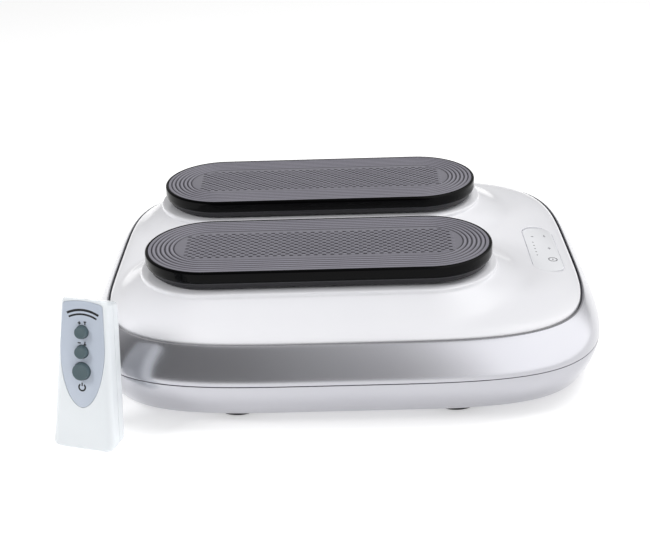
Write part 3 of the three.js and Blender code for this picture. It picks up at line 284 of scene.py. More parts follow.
def turnedBody(profile, steps=64, x=0, y=0):
    # A body turned about an upright axis from (radius, height) pairs, with a zero radius at both poles
    points, faces, starts = [], [], []
    for radius, height in profile:
        starts.append((len(points), radius == 0))
        if radius == 0:
            points.append((x, y, height))
        else:
            for step in range(steps):
                angle = 2 * math.pi * step / steps
                points.append((x + radius * math.cos(angle), y + radius * math.sin(angle), height))
    for (low, lowPole), (high, highPole) in zip(starts, starts[1:]):
        for step in range(steps):
            after = (step + 1) % steps
            if lowPole and highPole:
                continue
            if lowPole:
                faces.append((low, high + after, high + step))
            elif highPole:
                faces.append((low + step, low + after, high))
            else:
                faces.append((low + step, low + after, high + after, high + step))
    return points, faces


def quarter(steps, first=0):
    # The angles of a quarter turn
    return [math.pi / 2 * i / steps for i in range(first, steps + 1)]


def upright(radius, low, high, x=0, y=0, steps=24):
    return turnedBody([(0, low), (radius, low), (radius, high), (0, high)], steps, x, y)


def arcOf(centre, radius, start, stop, steps):
    angles = [math.radians(start + (stop - start) * i / steps) for i in range(steps + 1)]
    return [(centre[0] + radius * math.cos(a), centre[1] + radius * math.sin(a)) for a in angles]


def moved(body, place=(0, 0, 0), turn=None):
    points, faces = body
    if turn is not None:
        points = [tuple(turn @ Vector(point)) for point in points]
    return [tuple(a + b for a, b in zip(point, place)) for point in points], faces


def addMesh(name, body):
    points, faces = body
    mesh = bpy.data.meshes.new(name)
    mesh.from_pydata([tuple(c * mm for c in point) for point in points], [], faces)
    made = bpy.data.objects.new(name, mesh)
    bpy.context.scene.collection.objects.link(made)
    return made


def settle(made):
    # Turns what the modifiers give into the object's own plain mesh
    graph = bpy.context.evaluated_depsgraph_get()
    mesh = bpy.data.meshes.new_from_object(made.evaluated_get(graph))
    made.modifiers.clear()
    old = made.data
    made.data = mesh
    bpy.data.meshes.remove(old)
    mesh.name = made.name
    return made


def carve(made, body, operation="DIFFERENCE"):
    tool = addMesh(made.name + "_tool", body)
    modifier = made.modifiers.new("carve", "BOOLEAN")
    modifier.operation = operation
    modifier.solver = "MANIFOLD"
    modifier.object = tool
    settle(made)
    bpy.data.meshes.remove(tool.data)
    return made


def bevelled(made, width):
    modifier = made.modifiers.new("bevel", "BEVEL")
    modifier.width = width * mm
    modifier.segments = 3
    modifier.limit_method = "ANGLE"
    modifier.angle_limit = math.radians(35)
    return settle(made)


def dress(made, finish, body, replaced=(), sharp=38):
    mesh = made.data
    mesh.polygons.foreach_set("use_smooth", [True] * len(mesh.polygons))
    mesh.set_sharp_from_angle(angle=math.radians(sharp))
    mesh.materials.clear()
    mesh.materials.append(materials[finish])
    mesh.update()
    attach(made, body)
    if replaced:
        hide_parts(*replaced)
    return made


# Outlines


def oval(length, width, squareness, lift, steps=320):
    ring = []
    for step in range(steps):
        angle = 2 * math.pi * step / steps
        c, s = math.cos(angle), math.sin(angle)
        k = (abs(c) ** squareness + abs(s) ** squareness) ** (-1 / squareness)
        ring.append((length / 2 * c * k, width / 2 * s * k, lift))
    return ring


def track(length, width, lift, x=0, y=0, arcSteps=40, straightSteps=44):
    ring = []
    radius, half = width / 2, (length - width) / 2
    for end in (1, -1):
        for step in range(arcSteps):
            angle = math.pi * (step / arcSteps - 0.5)
            ring.append((x + end * (half + radius * math.cos(angle)), y + end * radius * math.sin(angle), lift))
        for step in range(straightSteps):
            ring.append((x + end * half * (1 - 2 * step / straightSteps), y + end * radius, lift))
    return ring


def roundedBox(length, width, corner, lift, x=0, y=0, steps=10):
    ring = []
    for quarter, (sideX, sideY) in enumerate([(1, 1), (-1, 1), (-1, -1), (1, -1)]):
        for step in range(steps + 1):
            angle = math.pi / 2 * (quarter + step / steps)
            ring.append((x + sideX * (length / 2 - corner) + corner * math.cos(angle),
                         y + sideY * (width / 2 - corner) + corner * math.sin(angle), lift))
    return ring


# Cover: a low dome, two plinths with long skirts, slots for the pillars and the panel's pocket

cover = {
    "length": 435.8, "width": 366.2, "lift": 71.8, "squareness": 4.24, "crown": 13.0, "flatness": 8.0,
    "shoulder": 1.6, "wall": 3.0, "skirtFoot": 67.5,
    "plinthTop": 101.0, "plinthWall": 3.8, "overhang": 4.6, "topRounding": 1.2, "topInset": 2.4,
    "skirtReach": 27.0, "skirtBury": 0.6, "blend": 3.4, "footFillet": 1.1,
    "pedalLength": 315.0, "pedalWidth": 117.0,
    "slotLength": 85.0, "slotWidth": 23.0, "slotCorner": 8.5, "slotReach": 68.0,
    "spacing": 3.3, "fillShare": 0.928, "fillReach": 5.5, "innerSpacing": 9.0, "innerShare": 0.93, "innerReach": 7,
}
pocket = {"edgeReach": 27.0, "y": -21.0, "tilt": 4.0, "length": 100.0, "width": 28.6, "corner": 13.0,
          "groove": 1.0, "sunk": 0.6, "thickness": 2.0, "seat": 0.3, "edge": 0.35,
          "clear": 1.6, "room": 2.6, "roomEdge": 3, "roomFade": 5}


def domeHeight(x, y):
    c = cover
    share = (abs(2 * x / c["length"]) ** c["squareness"] + abs(2 * y / c["width"]) ** c["squareness"])
    share = min(share ** (1 / c["squareness"]), 1)
    return c["lift"] + c["crown"] * (1 - share ** c["flatness"]) ** (1 / c["shoulder"])


def fromPlinth(x, y, side):
    # Distance outside a plinth's wall, and the direction straight out of it
    half = (cover["pedalLength"] - cover["pedalWidth"]) / 2
    dx = x - pedalX
    dx -= max(-half, min(half, dx))
    dy = y - side * pedalReach
    reach = math.hypot(dx, dy)
    out = (dx / reach, dy / reach) if reach > 0 else (0, 1)
    return reach - cover["pedalWidth"] / 2 - cover["overhang"], out


def coverHeight(x, y):
    base = domeHeight(x, y)
    top = cover["plinthTop"] - cover["plinthWall"]
    skirts = []
    for side in sides.values():
        away, out = fromPlinth(x, y, side)
        left = cover["skirtReach"] - away
        foot = domeHeight(x + left * out[0], y + left * out[1]) - cover["skirtBury"]
        skirts.append(top + (foot - top) * away / cover["skirtReach"])
    height = base
    for skirt in skirts:
        gap = max(cover["blend"] - abs(height - skirt), 0)
        height = max(height, skirt) + gap * gap / (4 * cover["blend"])
    return height


def pocketMatrix():
    x = cover["length"] / 2 - pocket["edgeReach"]
    turn = Matrix.Rotation(math.radians(pocket["tilt"]), 4, "Y")
    return Matrix.Translation((x, pocket["y"], domeHeight(x, pocket["y"]))) @ turn


def pocketRing(growth, lift, steps=14):
    ring = roundedBox(pocket["width"] + 2 * growth, pocket["length"] + 2 * growth, pocket["corner"] + growth,
                      lift, steps=steps)
    matrix = pocketMatrix()
    return [tuple(matrix @ Vector(point)) for point in ring]


def onCover(point):
    # Slides a point along the pocket's own axis until it lies on the cover
    axis = pocketMatrix().to_3x3() @ Vector((0, 0, 1))
    x, y, z = point
    for _ in range(6):
        step = coverHeight(x, y) - z
        x, y, z = x + axis.x * step, y + axis.y * step, z + axis.z * step
    return x, y, z


def insideLoop(x, y, loop):
    # loop is an array of corners; counts crossings to the right
    a, b = loop, np.roll(loop, -1, axis=0)
    crosses = (a[:, 1] > y) != (b[:, 1] > y)
    at = a[:, 0] + (y - a[:, 1]) / np.where(b[:, 1] == a[:, 1], 1, b[:, 1] - a[:, 1]) * (b[:, 0] - a[:, 0])
    return np.count_nonzero(crosses & (x < at)) % 2 == 1


def skin(loops, fill, holes):
    # Triangles through closed loops and loose points, which keep their heights; also gives each loop's indices
    edges, bases = [], [0]
    for loop in loops:
        count, base = len(loop), bases[-1]
        edges.extend([(base + i, base + (i + 1) % count) for i in range(count)])
        bases.append(base + count)
    given = [point for loop in loops for point in loop] + fill
    corners, _, triangles, origin, _, _ = geometry.delaunay_2d_cdt(
        [Vector(p[:2]) for p in given], edges, [], 0, 1e-5, True)
    points = [(c[0], c[1], given[o[0]][2] if o else 0.0) for c, o in zip(corners, origin)]
    index = {each: i for i, o in enumerate(origin) for each in o}
    rings = [[index[i] for i in range(low, high)] for low, high in zip(bases, bases[1:])]
    arrays = [np.array([(p[0], p[1]) for p in hole]) for hole in holes]
    boxes = [(a.min(0), a.max(0)) for a in arrays]
    faces = []
    for triangle in triangles:
        x = sum(points[i][0] for i in triangle) / 3
        y = sum(points[i][1] for i in triangle) / 3
        open_ = any(low[0] < x < high[0] and low[1] < y < high[1] and insideLoop(x, y, a)
                    for a, (low, high) in zip(arrays, boxes))
        if not open_:
            faces.append(tuple(triangle))
    return points, faces, rings


def draped(ring, height):
    return [(x, y, height(x, y)) for x, y, _ in ring]


def slotLoops(lift):
    c = cover
    return [roundedBox(c["slotLength"], c["slotWidth"], c["slotCorner"], lift, pedalX + end * c["slotReach"],
                       side * pedalReach, steps=6) for end, side in fourCorners]


def plinthLoop(reach, side, height=None):
    grown = 2 * (cover["overhang"] + reach)
    ring = track(cover["pedalLength"] + grown, cover["pedalWidth"] + grown, height or 0, pedalX, side * pedalReach)
    return draped(ring, coverHeight) if height is None else ring


def scatter(spacing, keep, height):
    points = []
    rows = int(cover["width"] / spacing / 0.866)
    for row in range(-rows // 2, rows // 2 + 1):
        y = row * spacing * 0.866 + 0.0137
        for column in range(-int(cover["length"] / spacing / 2), int(cover["length"] / spacing / 2) + 1):
            x = (column + 0.5 * (row % 2)) * spacing + 0.0071
            if keep(x, y):
                points.append((x, y, height(x, y)))
    return points


def ovalShare(x, y, inset=0):
    c = cover
    across = abs(2 * x / (c["length"] - 2 * inset)) ** c["squareness"]
    along = abs(2 * y / (c["width"] - 2 * inset)) ** c["squareness"]
    return (across + along) ** (1 / c["squareness"])


def makeTopSkin(rim, mouth, slots):
    c = cover
    mouthArray = np.array([(p[0], p[1]) for p in mouth])

    def besideMouth(x, y):
        away = np.hypot(mouthArray[:, 0] - x, mouthArray[:, 1] - y).min()
        return away > pocket["clear"] and not insideLoop(x, y, mouthArray)

    loops, loose = [], []  # A ring that meets the pocket's mouth gives loose points
    for ring in rim:
        clear = [besideMouth(x, y) for x, y, _ in ring]
        if all(clear):
            loops.append(ring)
        else:
            loose.extend(point for point, kept in zip(ring, clear) if kept)
    for side in sides.values():
        for angle in quarter(5):
            loops.append(plinthLoop(-c["topInset"] * (1 - math.cos(angle)) - 0.02, side,
                                    c["plinthTop"] - c["topRounding"] * (1 - math.sin(angle))))
        for reach, share in ((0.1, 1.0), (0.24, 0.45), (0.6, 0.14)):
            loops.append([(x, y, z + c["footFillet"] * share) for x, y, z in plinthLoop(reach, side)])
        for reach in (1.2, 2.4, 4.2):
            loops.append(plinthLoop(reach, side))

    def open_(x, y):
        return (ovalShare(x, y) < c["fillShare"] and besideMouth(x, y)
                and all(fromPlinth(x, y, side)[0] > c["fillReach"] for side in sides.values()))

    fill = scatter(c["spacing"], open_, coverHeight) + loose
    return skin([*loops, *slots, mouth], fill, [*slots, mouth])


def makeUnderSkin(slots, ceiling):
    # Has the plinths' hollows, and room below the pocket
    c = cover
    drop = c["wall"] + 0.6
    middle = pocketMatrix().translation

    def under(x, y):
        beside = max(abs(x - middle.x) - pocket["width"] / 2, abs(y - middle.y) - pocket["length"] / 2)
        bump = pocket["room"] * min(max(1 - (beside - pocket["roomEdge"]) / pocket["roomFade"], 0), 1)
        return coverHeight(x, y) - drop - bump

    def open_(x, y):
        return (ovalShare(x, y, c["wall"]) < c["innerShare"]
                and all(fromPlinth(x, y, side)[0] > c["innerReach"] for side in sides.values()))

    loops = []
    for inset in (c["wall"], c["wall"] + 4, c["wall"] + 10):
        loops.append(draped(oval(c["length"] - 2 * inset, c["width"] - 2 * inset, c["squareness"], 0), under))
    for side in sides.values():
        loops.append(plinthLoop(-c["wall"] - 0.3, side, ceiling))
        loops.extend([draped(plinthLoop(reach, side, 0.0), under) for reach in (-c["wall"], 4)])
    return skin([*loops, *slots], scatter(c["innerSpacing"], open_, under), slots)


def makeCover():
    c = cover
    rim = [oval(c["length"], c["width"], c["squareness"], c["lift"])]
    for share in (0.9994, 0.998, 0.9955, 0.992, 0.987, 0.981, 0.974, 0.966, 0.957, 0.947, 0.936):
        rim.append(draped(oval(c["length"] * share, c["width"] * share, c["squareness"], 0), coverHeight))
    mouth = [onCover(point) for point in pocketRing(pocket["groove"] + pocket["edge"], 0)]
    points, faces, outer = makeTopSkin(rim, mouth, slotLoops(c["plinthTop"]))
    ceiling = c["plinthTop"] - c["wall"]
    innerPoints, innerFaces, inner = makeUnderSkin(slotLoops(ceiling), ceiling)
    shift = len(points)
    points.extend(innerPoints)
    faces.extend([tuple(shift + i for i in reversed(face)) for face in innerFaces])
    inner = [[shift + i for i in ring] for ring in inner]

    def wall(upper, lower):
        # Quads between two index rings; the first lies on the side that faces out
        count = len(upper)
        faces.extend([(lower[i], lower[(i + 1) % count], upper[(i + 1) % count], upper[i]) for i in range(count)])

    def addRing(ring):
        start = len(points)
        points.extend(ring)
        return list(range(start, start + len(ring)))

    lowOuter, lowInner = (addRing(oval(c["length"] - inset, c["width"] - inset, c["squareness"], c["skirtFoot"]))
                          for inset in (0, 2 * c["wall"]))
    for upper, below in ((outer[0], lowOuter), (lowOuter, lowInner), (lowInner, inner[0])):
        wall(upper, below)
    for high, low in zip(outer[-1 - len(fourCorners):-1], inner[-len(fourCorners):]):
        wall(low, high)
    above, edge = outer[-1], pocket["edge"]
    axis = pocketMatrix().to_3x3() @ Vector((0, 0, 1))
    for growth, fall in ((edge * 0.4, edge * 0.12), (edge * 0.08, edge * 0.5), (0, edge)):
        ring = [onCover(point) for point in pocketRing(pocket["groove"] + growth, 0)]
        below = addRing([tuple(Vector(p) - axis * fall) for p in ring])
        wall(below, above)
        above = below
    bottom = addRing(pocketRing(pocket["groove"], -pocket["sunk"] - pocket["thickness"] - pocket["seat"]))
    wall(bottom, above)
    faces.append(tuple(bottom))
    return points, faces


coverBody = makeCover()
coverPiece = addMesh("cover_skin", moved(coverBody, (housingX, housingY, 0)))
posts = []
postSettings = {"x": 178.0, "y": 148.0, "radius": 5.5, "bore": 1.7, "foot": 60.3, "boreTop": 71.5}
for end, side in fourCorners:
    s = postSettings
    x, y = end * s["x"], side * s["y"]
    top = min(coverHeight(x + dx, y + dy) for dx in (-6, 6) for dy in (-6, 6)) - 1.2
    posts.append(turnedBody([(0, s["boreTop"]), (s["bore"], s["boreTop"]), (s["bore"], s["foot"]),
                             (s["radius"], s["foot"]), (s["radius"], top), (0, top)], 24, x, y))
postPiece = addMesh("cover_posts", moved(gather(*posts), (housingX, housingY, 0)))
dress(coverPiece, "coverWhite", "base", ["top_cover"], sharp=50)
dress(postPiece, "coverWhite", "base")
print("cover made:", len(coverBody[1]), "faces")

# Housing bands: one Geometry Nodes tree sweeps a section of (inset, lift) pairs round the squared oval


def newTree(name, inputs):
    # A text in place of a default is the socket's own kind
    kinds = {float: "Float", int: "Int"}
    tree = bpy.data.node_groups.new(name, "GeometryNodeTree")
    tree.interface.new_socket("Geometry", in_out="INPUT", socket_type="NodeSocketGeometry")
    tree.interface.new_socket("Geometry", in_out="OUTPUT", socket_type="NodeSocketGeometry")
    names = {}
    for label, value in inputs.items():
        kind = kinds.get(type(value), value)
        item = tree.interface.new_socket(label, in_out="INPUT", socket_type=f"NodeSocket{kind}")
        if kind != value:
            item.default_value = value
        names[label] = item.identifier
    entry = tree.nodes.new("NodeGroupInput")
    exit_ = tree.nodes.new("NodeGroupOutput")
    given = {socket.name: Socket(tree, socket) for socket in entry.outputs if socket.name}
    return tree, names, given, exit_


def endTree(tree, exit_, result, material):
    whole = result.node("GeometryNodeRealizeInstances", {}, [result])
    finished = result.node("GeometryNodeSetMaterial", {}, {"Geometry": whole, "Material": material})
    tree.links.new(finished.socket, exit_.inputs[0])


weldGap = 0.005 * mm


def lerp(a, b, share):
    return a + (b - a) * share


def sweepGrid(given, steps, start):
    # A grid with one column for each step round and one row for each point of the section
    rows = start.node("GeometryNodeAttributeDomainSize", {}, [given["Geometry"]], output="Point Count")
    grid = start.node("GeometryNodeMeshGrid", {}, {"Size X": 1.0, "Size Y": 1.0, "Vertices X": steps + 1,
                                                   "Vertices Y": rows}, output="Mesh")
    place = start.node("GeometryNodeInputPosition")
    x, y, _ = place.split()
    row = ((y + 0.5) * (rows - 1)).math("ROUND")
    sampled = start.node("GeometryNodeSampleIndex", {"data_type": "FLOAT_VECTOR", "domain": "POINT"},
                         {"Geometry": given["Geometry"], "Value": place, "Index": row})
    inset, _, lift = sampled.split()
    return grid, ((x + 0.5) * steps).math("ROUND"), inset, lift


def closeSweep(start, grid, x, y, z):
    point = start.node("ShaderNodeCombineXYZ", {}, [x, y, z])
    shaped = start.node("GeometryNodeSetPosition", {}, {"Geometry": grid, "Position": point})
    return start.node("GeometryNodeMergeByDistance", {}, {"Geometry": shaped, "Distance": weldGap})


def bandTree():
    tree, names, given, exit_ = newTree("housingBand", {
        "From Length": 0.4, "From Width": 0.4, "From Squareness": 4.0, "From Lift": 0.0,
        "To Length": 0.4, "To Width": 0.4, "To Squareness": 4.0, "To Lift": 0.05,
        "Bulge": 1.8, "Steps": 320, "Material": "Material"})
    start = given["Geometry"]
    grid, around, inset, lift = sweepGrid(given, given["Steps"], start)
    share = (lift - given["From Lift"]) / (given["To Lift"] - given["From Lift"])
    share = share.clamped() ** given["Bulge"]
    length, width = ((lerp(given["From " + key], given["To " + key], share) / 2 - inset).math("MAXIMUM", 0.0)
                     for key in ("Length", "Width"))
    power = lerp(given["From Squareness"], given["To Squareness"], share)
    angle = around / given["Steps"] * (2 * math.pi)
    c, s = angle.math("COSINE"), angle.math("SINE")
    k = (c.math("ABSOLUTE") ** power + s.math("ABSOLUTE") ** power) ** (-1 / power)
    endTree(tree, exit_, closeSweep(start, grid, length * c * k, width * s * k, lift), given["Material"])
    return tree, names


bandGroup, bandNames = bandTree()


def sweepPiece(name, group, names, section, settings, finish):
    # section: (inset, lift) pairs in millimetres, as a row of points for the tree to read
    made = addMesh(name, ([(inset, 0, lift) for inset, lift in section], []))
    modifier = made.modifiers.new("sweep", "NODES")
    modifier.node_group = group
    for label, value in settings.items():
        modifier[names[label]] = value
    modifier[names["Material"]] = materials[finish]
    made.update_tag()
    return settle(made)


def placed(made, x=housingX, y=housingY):
    made.data.transform(Matrix.Translation((x * mm, y * mm, 0)))
    return made


parting = {"length": 470.8, "width": 409.2, "lift": 42.4, "squareness": 4.2, "gap": 0.6}
floorEdge = {"length": 439.4, "width": 377.4, "lift": 6.0, "squareness": 4.6, "rounding": 4.0, "bulge": 1.8}
reveal = {"gap": 1.8, "depth": 2.1, "lip": 1.0, "ledgeDrop": 4.6, "ledgeThickness": 3.0, "ledgeReach": 5.3,
          "seat": 0.3, "edge": 0.4}


def bandSettings(toLength, toWidth, toLift, toSquareness, bulge):
    return {"From Length": parting["length"] * mm, "From Width": parting["width"] * mm,
            "From Squareness": parting["squareness"], "To Length": toLength * mm, "To Width": toWidth * mm,
            "To Squareness": toSquareness, "From Lift": parting["lift"] * mm, "To Lift": toLift * mm,
            "Bulge": bulge, "Steps": 320}


def makeRing():
    low, high = parting["lift"] + parting["gap"] / 2, cover["lift"]
    edge, wall = reveal["edge"], 3.0
    ledge = high - reveal["ledgeDrop"]
    grown = reveal["gap"] + reveal["lip"]
    section = [(edge, low), (edge * 0.3, low + edge * 0.3), (0, low + edge)]
    section += [(0, low + edge + (high - low - 2 * edge) * share) for share in
                (0.1, 0.2, 0.3, 0.4, 0.5, 0.6, 0.7, 0.78, 0.86, 0.93, 1)]
    section += [(edge * 0.3, high - edge * 0.3), (edge, high), (reveal["lip"], high),
                (reveal["lip"] + 0.02, ledge), (grown + reveal["ledgeReach"], ledge),
                (grown + reveal["ledgeReach"], ledge - reveal["ledgeThickness"]),
                (wall, ledge - reveal["ledgeThickness"] - 0.5), (wall, low + 8), (wall, low + 3.3),
                (1.5, low + 3.3), (1.5, low), (edge, low)]
    settings = bandSettings(cover["length"] + 2 * grown, cover["width"] + 2 * grown, high, cover["squareness"], 1.7)
    return sweepPiece("middle_band", bandGroup, bandNames, section, settings, "bandSilver")


ringPiece = placed(makeRing())
dress(ringPiece, "bandSilver", "base", ["middle_ring"])
print("middle band made:", len(ringPiece.data.polygons), "faces")

lower = {"wall": 3.0, "tongue": 3.0, "tongueWall": 1.2, "edge": 0.4, "footX": 96.0, "footY": 158.0, "footHole": 5.4,
         "bossRadius": 7.0, "bossTop": 14.7, "chassisLength": 312.0, "chassisWidth": 244.0, "chassisShift": -10.0,
         "bossMargin": 20.0, "postTop": 60.0, "screwHead": 4.2, "screw": 1.8, "screwSeat": 4}
inlet = {"lift": 25.0, "width": 18.0, "height": 14.0, "depth": 9.0, "wall": 2.0, "corner": 3.0, "hole": 5.2}


def bandEdgeX(lift):
    share = (parting["lift"] - lift) / (parting["lift"] - floorEdge["lift"])
    return (parting["length"] + (floorEdge["length"] - parting["length"]) * share ** floorEdge["bulge"]) / 2


def alongX(ring, x):
    return [(x, y, inlet["lift"] - across) for across, y, _ in ring]


def makeLower():
    high = parting["lift"] - parting["gap"] / 2
    low, radius, wall, edge = floorEdge["lift"], floorEdge["rounding"], lower["wall"], lower["edge"]
    section = [(floorEdge["width"] / 2, low), (60, low), (radius, low)]
    section += [(radius * (1 - math.sin(a)), low + radius * (1 - math.cos(a))) for a in quarter(8, 1)]
    section += [(0, low + radius + (high - edge - low - radius) * share) for share in
                (0.08, 0.16, 0.25, 0.35, 0.46, 0.58, 0.7, 0.82, 0.92, 1)]
    section += [(edge * 0.3, high - edge * 0.3), (edge, high), (wall - lower["tongueWall"], high),
                (wall - lower["tongueWall"] + 0.03, high + lower["tongue"]), (wall, high + lower["tongue"]),
                (wall, high - 2), (wall, 26), (wall, 16), (wall + 0.4, low + radius + 1), (wall + 2, low + wall),
                (60, low + wall), (floorEdge["width"] / 2 + 8, low + wall)]
    settings = bandSettings(floorEdge["length"], floorEdge["width"], floorEdge["lift"], floorEdge["squareness"],
                            floorEdge["bulge"])
    made = sweepPiece("lower_band", bandGroup, bandNames, section, settings, "bandSilver")
    face = bandEdgeX(inlet["lift"])
    inner = face - inlet["depth"]
    grow = 2 * inlet["wall"]
    cup = alongX(roundedBox(inlet["height"] + grow, inlet["width"] + grow, inlet["corner"] + inlet["wall"], 0),
                 inner - inlet["wall"])
    mouth = [(bandEdgeX(z) - 1.2, y, z) for _, y, z in cup]  # Follows the leaning wall
    added = [loft([cup, mouth])]
    for sideX in (-1, 0, 1):
        for sideY in (-1, 1):
            x = lower["chassisShift"] + sideX * (lower["chassisLength"] / 2 - lower["bossMargin"])
            y = sideY * (lower["chassisWidth"] / 2 - lower["bossMargin"])
            added.append(upright(lower["bossRadius"], low + 1, lower["bossTop"], x, y))
    hole = [alongX(roundedBox(inlet["height"], inlet["width"], inlet["corner"], 0), x) for x in (inner, face + 8)]
    barrel = moved(upright(inlet["hole"], -20, 4, steps=32), (inner, 0, inlet["lift"]),
                   Matrix.Rotation(math.pi / 2, 3, "Y"))
    cuts = [loft(hole), barrel]
    for end, side in fourCorners:
        x, y = end * postSettings["x"], side * postSettings["y"]
        added.append(upright(postSettings["radius"], low + 1, lower["postTop"], x, y))
        head, screw, seat = lower["screwHead"], lower["screw"], low + lower["screwSeat"]
        cuts.append(turnedBody([(0, 0), (head, 0), (head, seat), (screw, seat), (screw, 70), (0, 70)], 24, x, y))
        cuts.append(upright(lower["footHole"], 0, 20, end * lower["footX"], side * lower["footY"], 32))
    for body in added:
        carve(made, body, "UNION")
    return carve(made, gather(*cuts))


lowerPiece = placed(makeLower())
dress(lowerPiece, "bandSilver", "base", ["lower_shell"])
print("lower band made:", len(lowerPiece.data.polygons), "faces")


# A dark seal in the reveal between the cover and the band; its dark colour is painted shade for the gap there
def makeShadeSeal():
    low, high = cover["lift"] - reveal["ledgeDrop"] + reveal["seat"], cover["lift"] - reveal["depth"]
    section = [(0, low), (0, high - 0.3), (0.3, high), (1.0, high), (1.2, high - 0.3), (1.2, low), (0, low)]
    length, width = (cover[key] + 2 * (reveal["gap"] - reveal["seat"]) for key in ("length", "width"))
    settings = bandSettings(length, width, cover["lift"], cover["squareness"], 1.0)
    settings.update({"From Length": length * mm, "From Width": width * mm, "From Squareness": cover["squareness"]})
    return sweepPiece("reveal_seal", bandGroup, bandNames, section, settings, "sealDark")


dress(placed(makeShadeSeal()), "sealDark", "base", ["cover_seal"])

# Touch panel with its printed marks

panelMarks = {"thickness": 0.05, "print": 0.02}


roundEnd = 0.98  # share of the half width, so that no two corners meet


def flatBar(length, width, x, y, low, high):
    return loft([roundedBox(length, width, min(length, width) / 2 * roundEnd, lift, x, y, steps=4)
                 for lift in (low, high)])


def flatRing(outer, inner, x, y, low, high, start=0, stop=360, steps=40):
    # A flat ring, or an arc of one when it doesn't go all the way round
    whole = stop - start >= 360
    angles = [math.radians(start + (stop - start) * i / steps) for i in range(steps if whole else steps + 1)]
    corners = [(outer, low), (outer, high), (inner, high), (inner, low)]
    points = [(x + r * math.cos(a), y + r * math.sin(a), z) for a in angles for r, z in corners]
    count, faces = len(angles), []
    for i in range(count if whole else count - 1):
        j = (i + 1) % count
        for k in range(4):
            m = (k + 1) % 4
            faces.append((4 * i + k, 4 * j + k, 4 * j + m, 4 * i + m))
    if not whole:
        faces.append((0, 1, 2, 3))
        faces.append(tuple(reversed([4 * (count - 1) + k for k in range(4)])))
    return points, faces


def inPocket(body):
    return moved(([tuple(pocketMatrix() @ Vector(point)) for point in body[0]], body[1]), (housingX, housingY, 0))


def makePanel():
    high, low = -pocket["sunk"], -pocket["sunk"] - pocket["thickness"]
    edge = 0.4
    rings = []
    for inset, lift in ((0, low), (0, high - edge), (edge * 0.3, high - edge * 0.3), (edge, high)):
        rings.append(roundedBox(pocket["width"] - 2 * inset, pocket["length"] - 2 * inset, pocket["corner"] - inset,
                                lift, steps=14))
    return addMesh("touch_panel", inPocket(loft(rings)))


def makePanelMarks():
    low = -pocket["sunk"] - panelMarks["print"]
    high = -pocket["sunk"] + panelMarks["thickness"]
    span = (low, high)
    marks = [
        flatBar(2.6, 1.1, -6.0, 28.5, *span),                                   # minus key
        flatBar(2.4, 0.9, 6.0, 29.0, *span), flatBar(0.9, 2.4, 6.0, 31.4, *span),  # speed key, a small arrow stem
        flatBar(3.0, 1.0, 6.6, 1.5, *span), flatBar(1.0, 1.0, 6.6, 3.2, *span), flatBar(1.0, 1.0, 6.6, -0.2, *span),
        flatRing(4.4, 3.5, 6.2, -24.0, *span), flatBar(0.9, 3.0, 6.2, -24.0, *span),
    ]
    for number in range(5):
        marks.append(flatRing(0.75, 0.2, -7.2, 14.5 - 7.4 * number, *span, steps=16))
    return addMesh("panel_marks", inPocket(gather(*marks)))


dress(makePanel(), "panelGrey", "base", ["control_panel"])
dress(makePanelMarks(), "markGrey", "base")
print("panel made")

# Rubber feet, turned, with grip rings underneath

foot = {"radius": 22.0, "height": 5.7, "chamfer": 1.6, "stem": 5.0, "stemTop": 11.7, "ringPitch": 2.2, "ringDepth": 0.6,
        "hollow": 12.0, "hollowDepth": 2.0}


def footProfile():
    f = foot
    profile = [(0, f["hollowDepth"]), (f["hollow"] - 1.5, f["hollowDepth"]), (f["hollow"], 0)]
    radius = f["hollow"] + 1.2
    while radius + f["ringPitch"] < f["radius"] - f["chamfer"]:
        profile += [(radius, 0), (radius + 0.3, f["ringDepth"]), (radius + 0.9, f["ringDepth"]), (radius + 1.2, 0)]
        radius += f["ringPitch"]
    profile += arcOf((f["radius"] - f["chamfer"], f["chamfer"]), f["chamfer"], -90, 0, 5)
    profile += [(f["radius"] - 0.8, f["height"] - 0.6), (f["radius"] - 1.6, f["height"]), (f["stem"], f["height"]),
                (f["stem"], f["stemTop"] - 0.5), (f["stem"] - 0.5, f["stemTop"]), (0, f["stemTop"])]
    return profile


for sideName, side in sides.items():
    for endName, end in ends.items():
        node = f"rubber_foot_{sideName}_{endName}"
        body = turnedBody(footProfile(), 72, end * lower["footX"] + housingX, side * lower["footY"] + housingY)
        dress(addMesh(f"grip_foot_{sideName}_{endName}", body), "footRubber", "base", [node])

# Pedals: one tree sweeps a section round the racetrack, another cuts the mat's dashes

pedal = {"length": 315.0, "width": 117.0, "top": 120.2, "rimHeight": 10.6, "rimLip": 2.6, "rimWall": 3.0,
         "rimRounding": 2.2, "rimPlate": 2.2, "matThickness": 3.6, "seat": 0.3, "border": 3.6, "ribPitch": 4.05,
         "ribCount": 5, "ribHeight": 1.3, "fieldDrop": 0.4, "baseHeight": 6.4, "baseInset": 0.9,
         "baseTaper": 3.4, "baseLip": 1.6,
         "pillarLength": 30.0, "pillarWidth": 18.0, "pillarCorner": 6.0, "pillarReach": 68.0, "pillarFoot": 86.3,
         "pillarWall": 3.0}
dash = {"pitchX": 7.3, "pitchY": 3.33, "length": 4.0, "width": 2.0, "depth": 1.1, "fieldLength": 243.0,
        "fieldWidth": 51.0, "corner": 11.0, "steps": 3, "bumpLength": 3.0, "bumpWidth": 1.9, "bumpHeight": 0.4}


